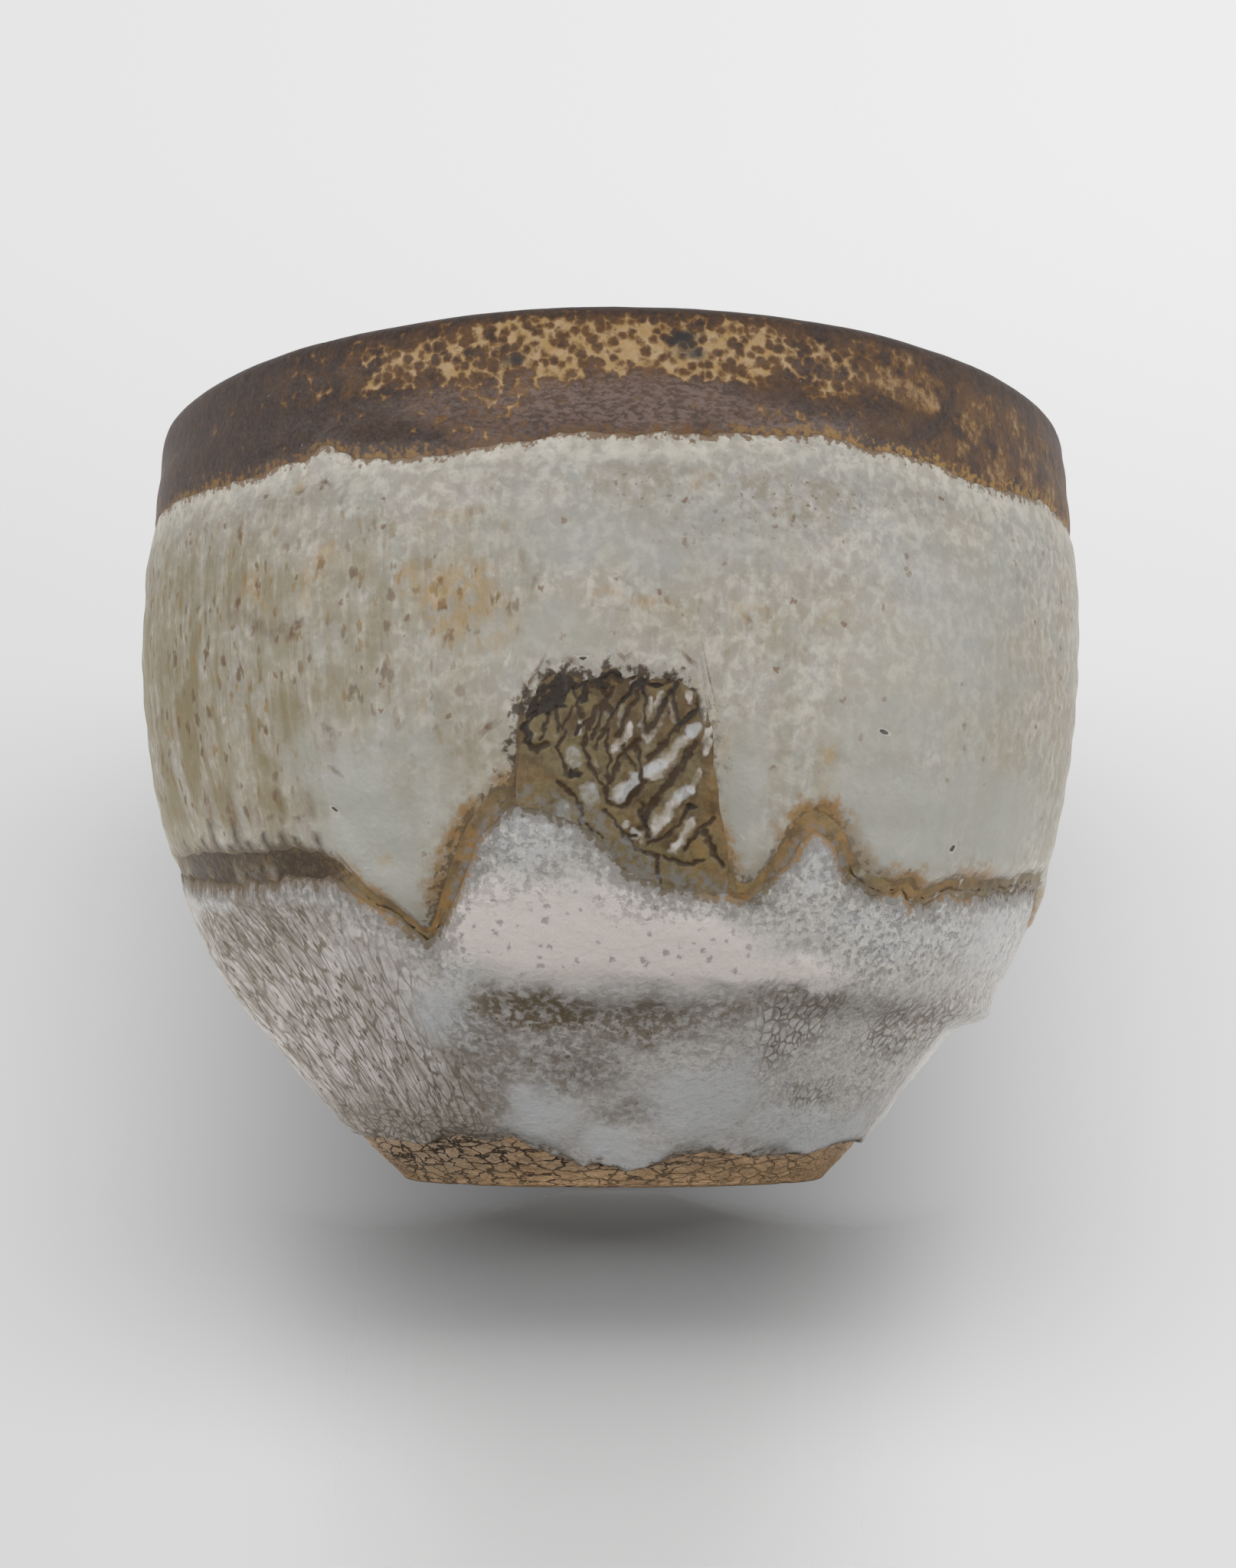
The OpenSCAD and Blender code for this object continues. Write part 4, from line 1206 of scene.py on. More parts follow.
def make_iron_rim(form, line):
    azimuth = columns(760)
    low = form.outside(at(line["iron"], azimuth) - 0.7)
    high = form.inside(at(line["iron_in"], azimuth) - 0.6)
    mm = form.mm

    def lift(a, s, z, to_low, to_high):
        ring = on_ring(a, z)
        full = mm["iron"] * (0.5 + 0.5 * rise(to_low, 0.4, 1.6)) * round_edge(to_low, 0.2)
        full = full * (0.5 + 0.5 * rise(to_high, 0.4, 1.6)) * round_edge(to_high, 0.2)
        nicks = rise(hills(ring, 1.1, 52, 2), 0.75, 1.15) * rise(np.abs(s - form.lip_s), 1.6, 0.4)
        return full + 0.03 * hills(ring, 2.4, 51) - 0.1 * nicks

    piece, a, s, to_low, to_high = glaze_ring(
        "iron_rim", form, azimuth, low, high, lift, outer_rows=112, inner_rows=14)
    z = form.height(s)
    ring = on_ring(a, z)
    out = s <= form.lip_s + 1.5
    aw, zw = a + 3 * hills(ring, 4, 53), z + 0.8 * hills(ring, 2.5, 54)
    tan = marks(aw, zw, [
        (-12, 51.2, 20, 2.6, 0.9), (8, 51.3, 18, 2.4, 1), (30, 50.8, 16, 2.6, 0.85),
        (48, 49.8, 14, 3, 0.75), (62, 49, 12, 3.6, 0.7), (-8, 49.2, 10, 1.2, 0.8),
        (46, 46.9, 16, 1.2, 0.8), (64, 47, 12, 1.4, 0.8), (22, 47.4, 14, 0.9, 0.5),
        (-30, 51.2, 9, 1.8, 0.45), (-14, 47.6, 8, 1.8, 0.62), (36, 48.2, 14, 2, 0.5), (90, 50, 20, 3, 0.6),
        (130, 51, 18, 2.4, 0.8), (170, 50, 20, 2.6, 0.7), (-150, 51, 18, 2.4, 0.6),
        (-120, 48, 14, 2, 0.3)], 0.5)
    tan = np.where(out, tan, 0.55 * rise(hills(ring, 8, 55), -0.2, 0.6))
    tan = tan * (0.4 + 0.6 * rise(53.7 - z, 0.0, 0.9))
    # painted sheen: a grey tint where the lip catches a metallic sheen, strongest in front and near the
    # silhouettes
    painted_sheen = marks(aw, zw, [
        (0, 47.6, 17, 1.9, 1), (14, 47, 10, 1.2, 0.8), (-78, 49, 10, 4, 0.7), (-16, 48, 8, 1.5, 0.6),
        (78, 49, 9, 4, 0.3), (150, 47.8, 20, 1.6, 0.7)]) * out
    night = dots(a, z, [
        (7.2, 51.4, 0.85), (8.6, 50.9, 0.6), (-10, 50.4, 0.55), (-54, 51.6, 0.5), (-54.4, 50.6, 0.42),
        (-54.6, 49.6, 0.34), (25.5, 48.4, 0.14), (142, 51, 0.6), (-165, 50, 0.5), (98, 49.6, 0.4)], 34)
    night = rise(night + 0.3 * hills(ring, 0.8, 56), 0.42, 0.85)
    fine_net = rise(a, 18, 40) * rise(-a, -110, -90) * out
    amber_edge = marks(aw, zw, [
        (40, 46, 24, 2.4, 1), (66, 46.5, 14, 3, 1), (-26, 45.4, 8, 2, 0.6), (-50, 46.5, 12, 2, 0.4),
        (150, 45, 24, 3, 0.8)], 0.5)
    note(piece, "tone", masks(tan, painted_sheen, night, fine_net))
    note(piece, "edge", masks(to_low / EDGE_REACH, to_high / EDGE_REACH, amber_edge, 0))
    finish_piece(piece, "iron_rim_glaze", "iron_glaze")


def make_seam(form, line):
    azimuth = columns(700)
    top = at(line["runs"], azimuth)
    low = form.outside(at(line["lower"], azimuth) - 0.9)
    high = form.outside(top + 0.7)
    mm = form.mm
    under_window = rise(np.abs(turn(azimuth - 1.5)), 12.2, 11.2)

    def lift(a, s, z, to_low, to_high):
        under = at_columns(under_window, a, azimuth)
        full = mm["thin"] * round_edge(to_low, 0.5) * round_edge(to_high, 0.5)
        full = full + 0.02 * hills(on_ring(a, z), 1.5, 61)
        return np.where(to_low + to_high > 0, full, 0) * (1 - 0.6 * under)

    piece, a, s, to_low, to_high = glaze_ring(
        "seam_band", form, azimuth, low, high, lift, outer_rows=40, inner_rows=8)
    z = form.height(s)
    ring = on_ring(a, z)
    below_run = at(line["runs"], a) - z
    warm = np.clip(marks(a, z, [
        (-27, 19, 8, 4, 1), (-17, 21, 5, 4, 1), (23, 22, 7, 3, 1), (15, 19.5, 6, 2, 1),
        (38, 19, 6, 2, 0.8), (46, 19.4, 5, 2, 0.6), (125, 20, 20, 4, 0.9), (-100, 20, 14, 3, 0.9),
        (168, 19, 14, 4, 0.9)], 0.5)
                   + 0.2 * hills(ring, 2, 62), 0, 1)
    dark = marks(a, z, [
        (-56, 20.8, 20, 3.0, 1), (-40, 20.4, 8, 2.4, 1), (148, 20, 16, 3, 0.9), (-112, 20, 14, 3, 0.8)], 0.5)
    dark = dark * rise(hills(ring * (1, 1, 0.35), 0.9, 63), -1.1, 0.0)
    film = rise(hills(ring, 1.2, 64), -0.4, 0.7)
    cold = 0.5 * rise(below_run, 0.9, 1.8) * rise(hills(ring, 0.7, 65), 0, 0.5)
    note(piece, "tone", masks(0.8 * dark, 0.3 * dark, cold, film))
    broken = marks(a, z, [
        (50, 19.6, 20, 3, 1), (33, 20, 5, 3, 0.7), (-27, 20, 5, 3, 0.5), (-14, 23, 4, 2, 0.5),
        (-100, 20, 14, 3, 0.7), (110, 20, 20, 4, 0.8), (175, 20, 14, 3, 0.7)], 0.5)
    broken = broken * rise(hills(ring, 0.9, 66), 0.0, 0.6)
    granular = rise(below_run, 0.2, 1.2) * (1 - dark)
    note(piece, "trace", masks(warm * (1 - 0.8 * broken), 0.9 * broken, granular, 0))
    finish_piece(piece, "seam_glaze_band", "thin_glaze")


# Strokes in the crawled window, drawn on a square of 1000 units: half width, then points
WINDOW_STROKES = [
    (15, (620, 175), (570, 222), (520, 290), (480, 350), (470, 400)),
    (15, (642, 172), (590, 260), (540, 362)), (13, (632, 175), (634, 260), (646, 345)),
    (16, (748, 185), (702, 252), (650, 345)), (14, (742, 190), (738, 250), (752, 312)),
    (20, (828, 260), (766, 320), (705, 385), (650, 428)),
    (14, (520, 200), (500, 240), (450, 292), (428, 322)),
    (16, (478, 150), (470, 190), (502, 240), (522, 300)), (14, (390, 200), (400, 262), (412, 290)),
    (13, (330, 270), (330, 335)), (16, (262, 262), (212, 330), (218, 380), (260, 410), (300, 382)),
    (12, (300, 290), (272, 372)), (12, (382, 268), (346, 330)),
    (18, (440, 182), (482, 168), (560, 160), (622, 152)),
    (12, (662, 112), (650, 182), (702, 190), (742, 168)), (14, (504, 340), (510, 430), (504, 590)),
    (14, (606, 395), (618, 450), (634, 540)), (14, (612, 378), (545, 440), (520, 520)),
    (24, (822, 378), (780, 440), (740, 500), (664, 590), (632, 655)),
    (18, (640, 520), (565, 600), (505, 590)), (16, (794, 600), (762, 660), (702, 710), (655, 720)),
    (16, (884, 640), (822, 690), (780, 745)), (18, (632, 600), (618, 650), (645, 700)),
    (12, (500, 620), (560, 690), (602, 700)), (16, (412, 600), (420, 650), (382, 690)),
    (22, (402, 480), (368, 492)), (12, (348, 440), (362, 492)), (14, (430, 370), (420, 402), (442, 440)),
    (14, (345, 150), (352, 205)), (14, (612, 140), (622, 180)),
    (16, (560, 700), (600, 740), (680, 770), (690, 860)), (20, (850, 690), (890, 760), (920, 800)),
    (14, (700, 770), (780, 800), (850, 780)), (12, (430, 440), (470, 500), (500, 560)),
    (12, (560, 400), (600, 470)), (13, (330, 520), (400, 570), (410, 640), (480, 700)),
    (12, (455, 300), (430, 372)), (12, (360, 345), (330, 400), (345, 440)),
    (12, (500, 240), (478, 300), (455, 372))]
WINDOW_DEEP = [
    (24, (212, 330), (225, 270), (262, 215), (300, 180)),
    (20, (400, 185), (450, 158), (520, 150), (600, 148)), (30, (310, 190), (360, 160), (400, 190)),
    (12, (600, 150), (660, 150), (745, 172)), (22, (420, 170), (440, 210), (410, 240)),
    (16, (255, 290), (300, 262), (350, 262)), (46, (345, 165), (350, 205), (310, 232), (282, 262)),
    (34, (360, 205), (330, 240)), (24, (262, 262), (225, 320), (228, 380)), (22, (470, 165), (500, 190)),
    (16, (640, 172), (600, 200), (560, 235), (520, 290)), (16, (630, 175), (634, 220)),
    (18, (812, 275), (764, 322)), (22, (372, 490), (398, 486)), (16, (632, 640), (640, 670)),
    (20, (800, 598), (812, 604)), (14, (745, 195), (702, 252)), (16, (410, 330), (400, 350)),
    (14, (650, 180), (700, 190))]
WINDOW_FILM = [
    (60, (270, 330), (330, 380), (420, 400)), (70, (300, 420), (380, 470), (470, 470)),
    (60, (470, 350), (480, 470)), (60, (500, 540), (520, 480)),
    (50, (300, 540), (200, 560), (110, 640), (40, 720)), (60, (440, 680), (560, 740), (680, 790)),
    (60, (640, 620), (720, 530)), (60, (760, 780), (880, 760)), (50, (400, 620), (470, 660)),
    (60, (300, 330), (260, 390)), (40, (560, 640), (540, 600)), (50, (600, 800), (700, 840)),
    (44, (780, 440), (800, 500)), (40, (600, 430), (640, 400)), (70, (860, 700), (930, 800)),
    (44, (330, 250), (440, 250)), (60, (480, 620), (380, 560))]
WINDOW_CELLS = [
    (17, (343, 331), (328, 375)), (15, (465, 312), (456, 362)), (13, (525, 262), (500, 300)),
    (15, (562, 268), (550, 328)), (26, (578, 338), (515, 438)), (23, (650, 238), (640, 325)),
    (26, (694, 268), (625, 400)), (18, (725, 238), (750, 312)), (27, (788, 362), (675, 462)),
    (22, (650, 500), (738, 462)), (28, (375, 450), (375, 494)), (26, (550, 538), (525, 600)),
    (38, (738, 562), (638, 700)), (25, (800, 662), (738, 762)), (19, (575, 662), (550, 700)),
    (20, (338, 612), (328, 712)), (10, (288, 312), (250, 375)), (10, (406, 300), (425, 375)),
    (16, (870, 330), (850, 420)), (14, (830, 480), (800, 540)), (12, (440, 400), (470, 470)),
    (14, (700, 220), (680, 250)), (12, (790, 215), (800, 250)), (12, (600, 180), (640, 165))]
WINDOW_COLD = [
    (42, (385, 420), (392, 450)), (46, (440, 545), (450, 575)), (44, (560, 570), (610, 510)),
    (40, (350, 600), (352, 690)), (34, (800, 345), (822, 330)), (36, (640, 480), (690, 455)),
    (34, (760, 560), (790, 540)), (24, (600, 700), (610, 680))]


def make_window(form, line):
    """A dense sheet over the crawled window, given its thickness by a solidify modifier"""
    bpy.ops.object.select_all(action="DESELECT")
    bpy.ops.mesh.primitive_grid_add(x_subdivisions=200, y_subdivisions=210, size=SHEET_SIZE)
    piece = fresh("crawled_window")
    co = read_points(piece)
    a = SHEET_START[0] + SHEET_SPAN[0] * (co[:, 0] / SHEET_SIZE + 0.5)
    z = SHEET_START[1] + SHEET_SPAN[1] * (co[:, 1] / SHEET_SIZE + 0.5)
    s = form.outside(z)
    r = np.interp(s, form.s, form.r)
    x = (np.radians(a) * (r + 0.6) + DRAWING_CORNER[0]) / DRAWING_UNIT[0]
    y = (DRAWING_CORNER[1] - z) / DRAWING_UNIT[1]
    ring = on_ring(a, z)
    xw, yw = x + 9 * hills(ring, 0.5, 71), y + 9 * hills(ring, 0.5, 72)
    line_mask = rise(strokes(xw, yw, WINDOW_STROKES) + 0.2 * hills(ring, 0.35, 73, 2), 0.0, 0.85)
    deep = rise(strokes(xw, yw, WINDOW_DEEP) + 0.35 * hills(ring, 0.4, 74), 0.05, 0.8)
    film = rise(strokes(xw, yw, WINDOW_FILM) + 0.3 * hills(ring, 0.5, 75), 0.05, 0.6)
    cold = rise(strokes(xw, yw, WINDOW_COLD), 0.05, 0.7) * (1 - 0.7 * line_mask)
    in_window = rise(at(line["runs"], a) + 0.3 - z, 0.5, -0.3)
    wide = [(1.5 * half, *points) for half, *points in WINDOW_CELLS]
    halo = strokes(xw, yw, [(2.6 * half, *points) for half, *points in WINDOW_STROKES])
    cell = in_window * rise(strokes(xw, yw, wide) + 0.16 * hills(ring, 0.4, 78), 0.0, 0.7)
    cell = cell * (1 - 0.35 * film) * (1 - 0.55 * rise(halo, 0.1, 0.7))
    warm = marks(a, z, [
        (11.5, 20.6, 3, 1.8, 1), (-9.5, 24.4, 3, 1.2, 0.4), (-1, 22.4, 6, 1, 0.3),
        (11, 24, 1.2, 3, 0.5)], 0.6)
    visible = rise(np.abs(turn(a - 1.5)), 12.4, 11.4)
    lift = 0.05 + (form.mm["thin"] - 0.05) * visible - 0.05 * line_mask + 0.03 * cell
    lift = lift + 0.02 * hills(ring, 0.8, 76)
    write_points(piece, form.place(a, s, lift))
    note(piece, "wrap", wrapped(a, s))
    note(piece, "tone", masks(line_mask, deep, cold, np.maximum(film, 0.8 * (1 - in_window))))
    note(piece, "trace", masks(warm, cell, 0.9 * (1 - in_window), 0))
    wall = piece.modifiers.new("thickness", "SOLIDIFY")
    wall.thickness = SHEET_THICKNESS * MM
    wall.offset = -1
    bpy.ops.object.modifier_apply(modifier=wall.name)
    finish_piece(piece, "crawled_window_glaze", "thin_glaze")


def make_lining(form, line):
    around, down, back = 380, 130, 12
    piece, i, j = start_ball("inner_lining", around, down + back)
    azimuth = columns(around, 0.5, 90)
    edge = form.inside(at(line["iron_in"], azimuth))
    rows = np.arange(down + back + 1)
    share = np.where(rows <= down, 1 - rows / down, (rows - down) / back)
    near = np.where(rows <= down, share ** 0.8, share)
    s = edge[:, None] + (form.end_s - edge)[:, None] * near[None]
    azimuths = np.broadcast_to(azimuth[:, None], s.shape)
    z = form.height(s)
    to_edge = s - edge[:, None]
    ring = on_ring(azimuths, z, 20)
    r = np.interp(s, form.s, form.r)
    full = form.mm["lining"] * (0.6 + 0.4 * rise(to_edge, 0, 3)) * round_edge(to_edge, 0.15)
    calm = rise(r, 1, 6)
    turned = 0.05 * hills(ring, 4, 81) + 0.04 * np.sin(s * 1.9 + np.radians(azimuths))
    full = full + turned * calm * rise(to_edge, 0.3, 1.5)
    full = full + 0.15 * (1 - rise(r, 8, 13))
    lift = np.where(rows[None] <= down, full, -0.05)
    points = form.place(azimuths, s, lift)
    points[:, 0] = points[:, 0].mean(0)
    points[:, -1] = points[:, -1].mean(0)
    write_points(piece, points[i, j])
    note(piece, "wrap", wrapped(azimuths, s)[i, j])
    aw, zw = azimuths + 4 * hills(ring, 5, 82), z + 1.5 * hills(ring, 5, 83)
    thin = marks(aw, zw, [
        (-60, 34, 30, 9, 0.8), (40, 30, 26, 10, 0.6), (130, 36, 24, 8, 0.7), (-150, 28, 26, 8, 0.6),
        (-10, 24, 18, 7, 0.5), (90, 20, 20, 5, 0.4)])
    pool = 1 - rise(r + 1.2 * hills(ring, 5, 84), 11, 15)
    fringe = rise(-to_edge, -2.2, -0.1)
    note(piece, "tone", masks(thin, pool, fringe, 0 * z)[i, j])
    finish_piece(piece, "inner_glaze_lining", "lining_glaze")


def clay_masks(a, z, r):
    ring = on_ring(a, z)
    under = rise(-z, -0.25, -0.02)
    film = marks(a, z, [
        (-50, 2.4, 26, 1.9, 1), (-30, 2.6, 9, 1.2, 0.9), (0, 1.7, 26, 0.5, 0.7), (66, 2.6, 12, 0.9, 0.5),
        (40, 2.2, 24, 0.5, 0.3), (150, 2.4, 22, 1.5, 0.9), (-110, 2.4, 24, 1.4, 0.7)], 0.5)
    film = film * (0.7 + 0.3 * hills(ring, 1.2, 92))
    crack = np.maximum(1.3 * marks(a, z, [
        (-45, 1.5, 26, 2.4, 1), (-18, 1.4, 12, 1.6, 0.9), (30, 1.2, 30, 1.6, 0.5), (5, 1.2, 14, 1.2, 0.8),
        (150, 1.4, 30, 2.4, 0.9), (-120, 1.4, 26, 2.4, 0.9), (95, 1.2, 20, 1.6, 0.5)], 0.5), 0.25)
    worn = np.maximum(under, marks(a, z, [(-50, 0.6, 40, 0.9, 0.6), (30, 0.8, 50, 0.7, 0.7)], 0.6))
    return masks(film * (1 - under), crack * (1 - 0.7 * under), worn, rise(-r, -14, -12))


def clay_relief(a, z, r):
    """Chips, pits and cracks of the bare clay near the foot, in mm"""
    ring = on_ring(a, z, r)
    return GRIT * hills(ring, 1.6, 93, 3) - PITS * rise(hills(ring, 1.0, 94, 2), 0.5, 1.0)


def make_body(form):
    """The thrown bowl: under the floor, up the cone and belly, over the lip and down into the well"""
    around = 420
    foot_top = form.mm["foot_radius"] + form.mm["foot_flare"]
    under = np.linspace(0, 1, 34)
    s_top = form.outside(form.mm["foot_height"])
    outer = np.concatenate([
        s_top + np.linspace(0, 3.2, 36)[1:], np.linspace(s_top + 3.2, form.lip_s - 1.6, 40)[1:],
        np.linspace(form.lip_s - 1.6, form.lip_s + 3.2, 14)[1:],
        np.linspace(form.lip_s + 3.2, form.end_s, 34)[1:]])
    down = len(under) + len(outer) - 1
    piece, i, j = start_ball("stoneware_body", around, down)
    row = down - j
    azimuth = columns(around, 0.55, 90)
    a = azimuth[i]
    is_under = row < len(under)
    s = np.where(is_under, s_top, outer[np.clip(row - len(under), 0, len(outer) - 1)])
    z, r = form.height(s), np.interp(s, form.s, form.r)
    relief = clay_relief(a, z, r) * rise(-z, -4.2, -3.4)
    points = form.place(a, s, relief)
    share = under[np.clip(row, 0, len(under) - 1)]
    ur = share * foot_top
    turned = 0.10 * np.sin(ur * 3.4 + np.radians(a)) * rise(ur, 0.6, 2.4) * rise(-ur, -10.2, -9.4)
    dome = 0.35 * (1 - (np.clip(ur, 0, 10) / 10) ** 2)
    rim = np.stack([np.hypot(points[:, 0], points[:, 1]), points[:, 2]], -1)
    flat_r = np.where(share > 0.8, ur + (rim[:, 0] / MM - foot_top) * rise(share, 0.8, 1), ur)
    flat_z = form.mm["foot_height"] + dome + turned
    rad = np.radians(a)
    floor_points = np.stack([flat_r * np.sin(rad), -flat_r * np.cos(rad), flat_z], -1) * MM
    points = np.where(is_under[:, None], floor_points, points)
    pole = (row == 0) | (row == down)
    points[pole, :2] = 0
    write_points(piece, points)
    note(piece, "wrap", np.where(is_under[:, None], wrapped(a, s_top - foot_top + ur), wrapped(a, s)))
    tone = clay_masks(a, np.where(is_under, 2.4, z), np.where(is_under, ur, r))
    tone[is_under & (ur < 12)] = (0.15, 0.15, 0.1, 1)
    note(piece, "tone", tone)
    finish_piece(piece, "stoneware_body", "clay", sharp=50)


def make_foot(form):
    """The foot ring: outer face, a top hidden against the bowl, inner face and worn resting face"""
    around = 560
    mm = form.mm
    rows_out, rows_top, rows_in, rows_base = 34, 6, 16, 24
    piece, i, j = start_ring("foot_ring", around, rows_out + rows_top + rows_in + rows_base)
    azimuth = columns(around, 0.55, 90)
    a = azimuth[i]
    edge = 0.45
    foot_top = mm["foot_radius"] + mm["foot_flare"]
    outer_s = np.linspace(FOOT_CORNER, form.outside(mm["foot_height"]), rows_out)
    line = [(np.interp(s, form.s, form.r), form.height(s)) for s in outer_s]
    recess, height = mm["recess_radius"], mm["foot_height"]
    line += [(foot_top + (recess - foot_top) * t, height) for t in np.linspace(0, 1, rows_top + 2)[1:-1]]
    line += [(recess, height + (edge - height) * t) for t in np.linspace(0, 1, rows_in)]
    corner_in = [(recess + edge * (1 - math.cos(t)), edge * (1 - math.sin(t)))
                 for t in np.linspace(0, math.pi / 2, 6)[1:]]
    start = line[0]
    first = mm["foot_radius"] - 0.3
    corner_out = [(first + (start[0] - mm["foot_radius"] + 0.3) * math.sin(t), start[1] * (1 - math.cos(t)))
                  for t in np.linspace(0, math.pi / 2, 7)[:-1]]
    rest = rows_base - len(corner_in) - len(corner_out)
    flat = np.linspace(corner_in[-1][0], corner_out[0][0], rest + 2)[1:-1]
    line += corner_in + [(r, 0.0) for r in flat] + corner_out
    line = np.array(line)
    r, z = line[j, 0], line[j, 1]
    on_wall = j < rows_out
    s = np.where(on_wall, outer_s[np.clip(j, 0, rows_out - 1)], FOOT_CORNER)
    relief = clay_relief(a, z, r)
    wall_points = form.place(a, s, relief)
    rad = np.radians(a)
    worn = 0.10 * rise(hills(on_ring(a, z, r), 1.2, 95, 3), 0.2, 1.0)
    lifted = np.where(z < 0.3, z + worn * rise(-z, -0.3, 0.0), z)
    cut = form.cut(a, 0 * z + line[0, 1], np.full(z.shape, line[0, 0]))
    cut = cut * (j >= rows_out + rows_top + rows_in + 6) * rise(r, 12.5, 15)
    inward = np.where(z > 0.02, 0.5 * relief, 0)
    other = np.stack([(r - cut + inward) * np.sin(rad), -(r - cut + inward) * np.cos(rad), lifted], -1) * MM
    points = np.where(on_wall[:, None], wall_points, other)
    points[:, 2] = np.maximum(points[:, 2], 0)
    write_points(piece, points)
    base_s = np.where(on_wall, s, FOOT_CORNER - (15.1 - r) * (z < 0.3) - 5 * ((z >= 0.3) & ~on_wall))
    note(piece, "wrap", wrapped(a, base_s))
    note(piece, "tone", clay_masks(a, z, r))
    finish_piece(piece, "foot_ring", "clay", sharp=50)


# Operators

def current_form():
    form = ThrownForm(bpy.context.scene.cup_sizes)
    return form, edges(form)


class CUP_OT_clay(bpy.types.Operator):
    """Makes the thrown clay bowl and its foot ring"""
    bl_idname = "cup.clay"
    bl_label = "Clay bowl and foot"

    def execute(self, context):
        form, _ = current_form()
        make_body(form)
        make_foot(form)
        return {"FINISHED"}


class CUP_OT_white_coats(bpy.types.Operator):
    """Makes the upper and the lower white glaze coats"""
    bl_idname = "cup.white_coats"
    bl_label = "White coats"

    def execute(self, context):
        form, line = current_form()
        make_upper_coat(form, line)
        make_lower_coat(form, line)
        return {"FINISHED"}


class CUP_OT_thin_glaze(bpy.types.Operator):
    """Makes the thin iron-stained glaze in the seam and in the crawled window"""
    bl_idname = "cup.thin_glaze"
    bl_label = "Seam and window"

    def execute(self, context):
        form, line = current_form()
        make_seam(form, line)
        make_window(form, line)
        return {"FINISHED"}


class CUP_OT_iron_rim(bpy.types.Operator):
    """Makes the iron glaze band over the lip"""
    bl_idname = "cup.iron_rim"
    bl_label = "Iron rim"

    def execute(self, context):
        form, line = current_form()
        make_iron_rim(form, line)
        return {"FINISHED"}


class CUP_OT_lining(bpy.types.Operator):
    """Makes the glaze inside the bowl"""
    bl_idname = "cup.lining"
    bl_label = "Inner lining"

    def execute(self, context):
        form, line = current_form()
        make_lining(form, line)
        return {"FINISHED"}


# The stage: camera, floor, backdrop, and the soft lamps by name, place, target, width, height and watts
CAMERA_DISTANCE = 152.6  # mm before the cup's middle
CAMERA_HEIGHT = 6.54  # mm over the ground
CAMERA_TILT = 8.53  # degrees it looks up
CAMERA_LENS = 46.61  # mm on a picture 36 mm high
STRIP_SPREAD = 30 / 135  # how much the strip where the floor shows widens per mm away from the camera
LAST_ROW = 7.35  # 1000 over the distance in mm where the backdrop takes over from the floor
SHADE_WIDTH = 0.189  # of the shade in the backdrop, as a slope to the side
SHADE_DEPTH = 0.58
EVEN_LIGHT = 0.03  # the world's light on everything
LAMPS = [
    ("front", (0.0, -0.7, 0.028), (0.0, 0.0, 0.028), 1.0, 0.05, 1.1),
    ("front_left", (-0.6, -0.46, 0.03), (0.0, 0.0, 0.03), 0.8, 0.054, 3.6),
    ("front_right", (0.6, -0.46, 0.03), (0.0, 0.0, 0.03), 0.8, 0.054, 3.4),
    ("behind_wide", (0.0, 0.6, 0.42), (0.0, 0.0, 0.02), 0.9, 0.3, 12.0),
    ("behind", (0.0, 0.6, 0.42), (0.0, 0.0, 0.02), 0.3, 0.3, 6.0)]


class CUP_OT_stage(bpy.types.Operator):
    """Makes the pale floor, the soft lamps, the world and the camera"""
    bl_idname = "cup.stage"
    bl_label = "Stage"

    def execute(self, context):
        make_floor()
        make_world()
        for lamp in LAMPS:
            make_lamp(*lamp)
        make_camera()
        return {"FINISHED"}


def make_floor():
    """A pale floor that keeps the cup's shadow near the foot and melts into the backdrop further out"""
    bpy.ops.object.select_all(action="DESELECT")
    bpy.ops.mesh.primitive_circle_add(vertices=96, radius=6.0, fill_type="NGON")
    floor = fresh("floor")
    material, tree = empty_material("floor")
    bench = Bench(tree)
    diffuse = bench.get("ShaderNodeBsdfDiffuse", 0, {"Color": tuple(bpy.context.scene.cup_colours.floor)})
    clear = bench.get("ShaderNodeBsdfTransparent", 0)
    x, y, _ = bench.object_place().split()
    side = abs(x) / bench.most((y + 155.0) * STRIP_SPREAD, 4.0)
    row = 1000.0 / bench.most(y + CAMERA_DISTANCE, 5.0)
    beside = bench.most(abs(x) - 3.0, 0.0)
    near = (row - LAST_ROW) / (beside * 0.5 + 0.1)
    far = bench.most(side.band(0.08, 0.8), near.band(1.7, 0.0))
    seen = bench.get("ShaderNodeLightPath", "Is Camera Ray")
    bench.finish("ShaderNodeOutputMaterial", bench.get("ShaderNodeMixShader", 0, {
        0: far * seen, 1: diffuse, 2: clear}))
    floor.data.materials.append(material)


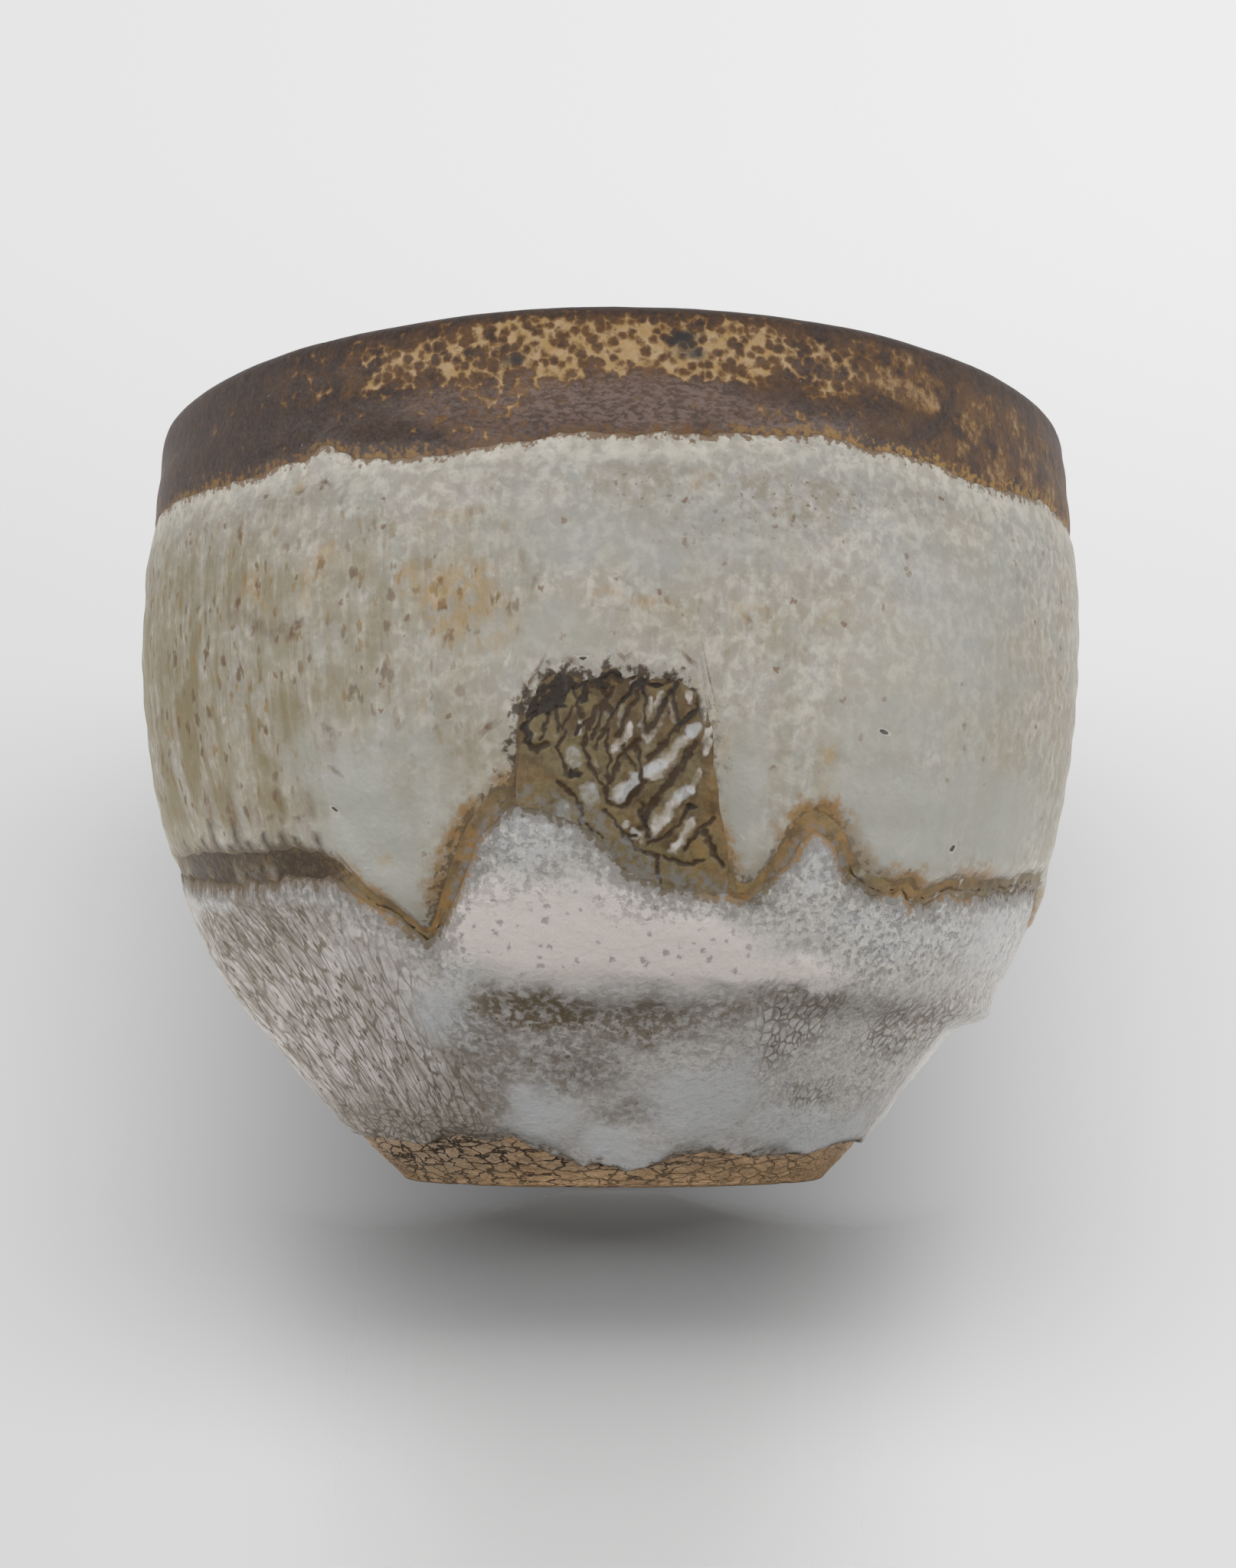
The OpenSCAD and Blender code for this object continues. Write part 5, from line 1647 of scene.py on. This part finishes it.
def make_world():
    """A pale backdrop with a soft shade for the camera and the reflections, and a faint even light"""
    world = bpy.data.worlds.new("studio")
    bpy.context.scene.world = world
    world.use_nodes = True
    world.node_tree.nodes.clear()
    bench = Bench(world.node_tree)
    x, y, z = bench.get("ShaderNodeTexCoord", "Generated").split()
    depth = bench.most(y, 0.05)
    u, v = x / depth, z / depth
    plain = z.band(0.0, 0.46, 0.715, 0.82) + bench.most(bench.math("MINIMUM", u, 0.4), -0.4) * 0.09
    across = (u + 0.013) * (1 / SHADE_WIDTH)
    dip = bench.math("EXPONENT", across * across * -1.0, 0.0)
    dip = dip * (v.band(0.22, 0.1) * v.band(-0.19, -0.055))
    dip = dip * y.band(0.3, 0.8, 0.0, SHADE_DEPTH)
    path = bench.add("ShaderNodeLightPath").outputs
    camera, glossy, through = (
        Wire(bench, path[name]) for name in ("Is Camera Ray", "Is Glossy Ray", "Is Transmission Ray"))
    seen = bench.most(bench.most(camera, glossy), through)
    strength = (plain - dip) * seen + (1.0 - seen) * EVEN_LIGHT
    bench.finish("ShaderNodeOutputWorld", bench.get("ShaderNodeBackground", 0, {
        "Color": (1, 1, 1), "Strength": strength}))


def make_lamp(name, place, target, wide, tall, power):
    data = bpy.data.lights.new(name, "AREA")
    data.shape = "RECTANGLE"
    data.size, data.size_y = wide, tall
    data.energy = power
    lamp = bpy.data.objects.new(name, data)
    bpy.context.scene.collection.objects.link(lamp)
    lamp.location = place
    lamp.visible_camera = False
    lamp.visible_glossy = place[1] < 0
    aim = [t - p for t, p in zip(target, place)]
    flat = math.hypot(aim[0], aim[1])
    lamp.rotation_euler = (math.pi / 2 + math.atan2(aim[2], flat), 0, math.atan2(-aim[0], aim[1]))


def make_camera():
    data = bpy.data.cameras.new("camera")
    data.sensor_fit = "VERTICAL"
    data.sensor_height = 36.0
    data.lens = CAMERA_LENS
    data.clip_start = 0.01
    camera = bpy.data.objects.new("camera", data)
    bpy.context.scene.collection.objects.link(camera)
    camera.location = (0.000345, -CAMERA_DISTANCE * MM, CAMERA_HEIGHT * MM)
    camera.rotation_euler = (math.radians(90 + CAMERA_TILT), 0, 0)
    bpy.context.scene.camera = camera


class CUP_PT_panel(bpy.types.Panel):
    bl_idname = "CUP_PT_panel"
    bl_label = "Sake cup"
    bl_space_type = "VIEW_3D"
    bl_region_type = "UI"
    bl_category = "Cup"

    def draw(self, context):
        for operator in PIECES:
            self.layout.operator(operator.bl_idname)
        for group in (context.scene.cup_sizes, context.scene.cup_colours):
            box = self.layout.box()
            for name in group.__annotations__:
                box.prop(group, name)


PIECES = [CUP_OT_clay, CUP_OT_white_coats, CUP_OT_thin_glaze, CUP_OT_iron_rim, CUP_OT_lining, CUP_OT_stage]
CLASSES = [CupSizes, CupColours, *PIECES, CUP_PT_panel]


def register():
    for item in CLASSES:
        bpy.utils.register_class(item)
    bpy.types.Scene.cup_sizes = bpy.props.PointerProperty(type=CupSizes)
    bpy.types.Scene.cup_colours = bpy.props.PointerProperty(type=CupColours)


def unregister():
    del bpy.types.Scene.cup_sizes
    del bpy.types.Scene.cup_colours
    for item in reversed(CLASSES):
        bpy.utils.unregister_class(item)


def main():
    register()
    bpy.context.scene.view_settings.view_transform = "Standard"
    bpy.ops.cup.clay()
    bpy.ops.cup.white_coats()
    bpy.ops.cup.thin_glaze()
    bpy.ops.cup.iron_rim()
    bpy.ops.cup.lining()
    bpy.ops.cup.stage()


if __name__ == "__main__":
    main()
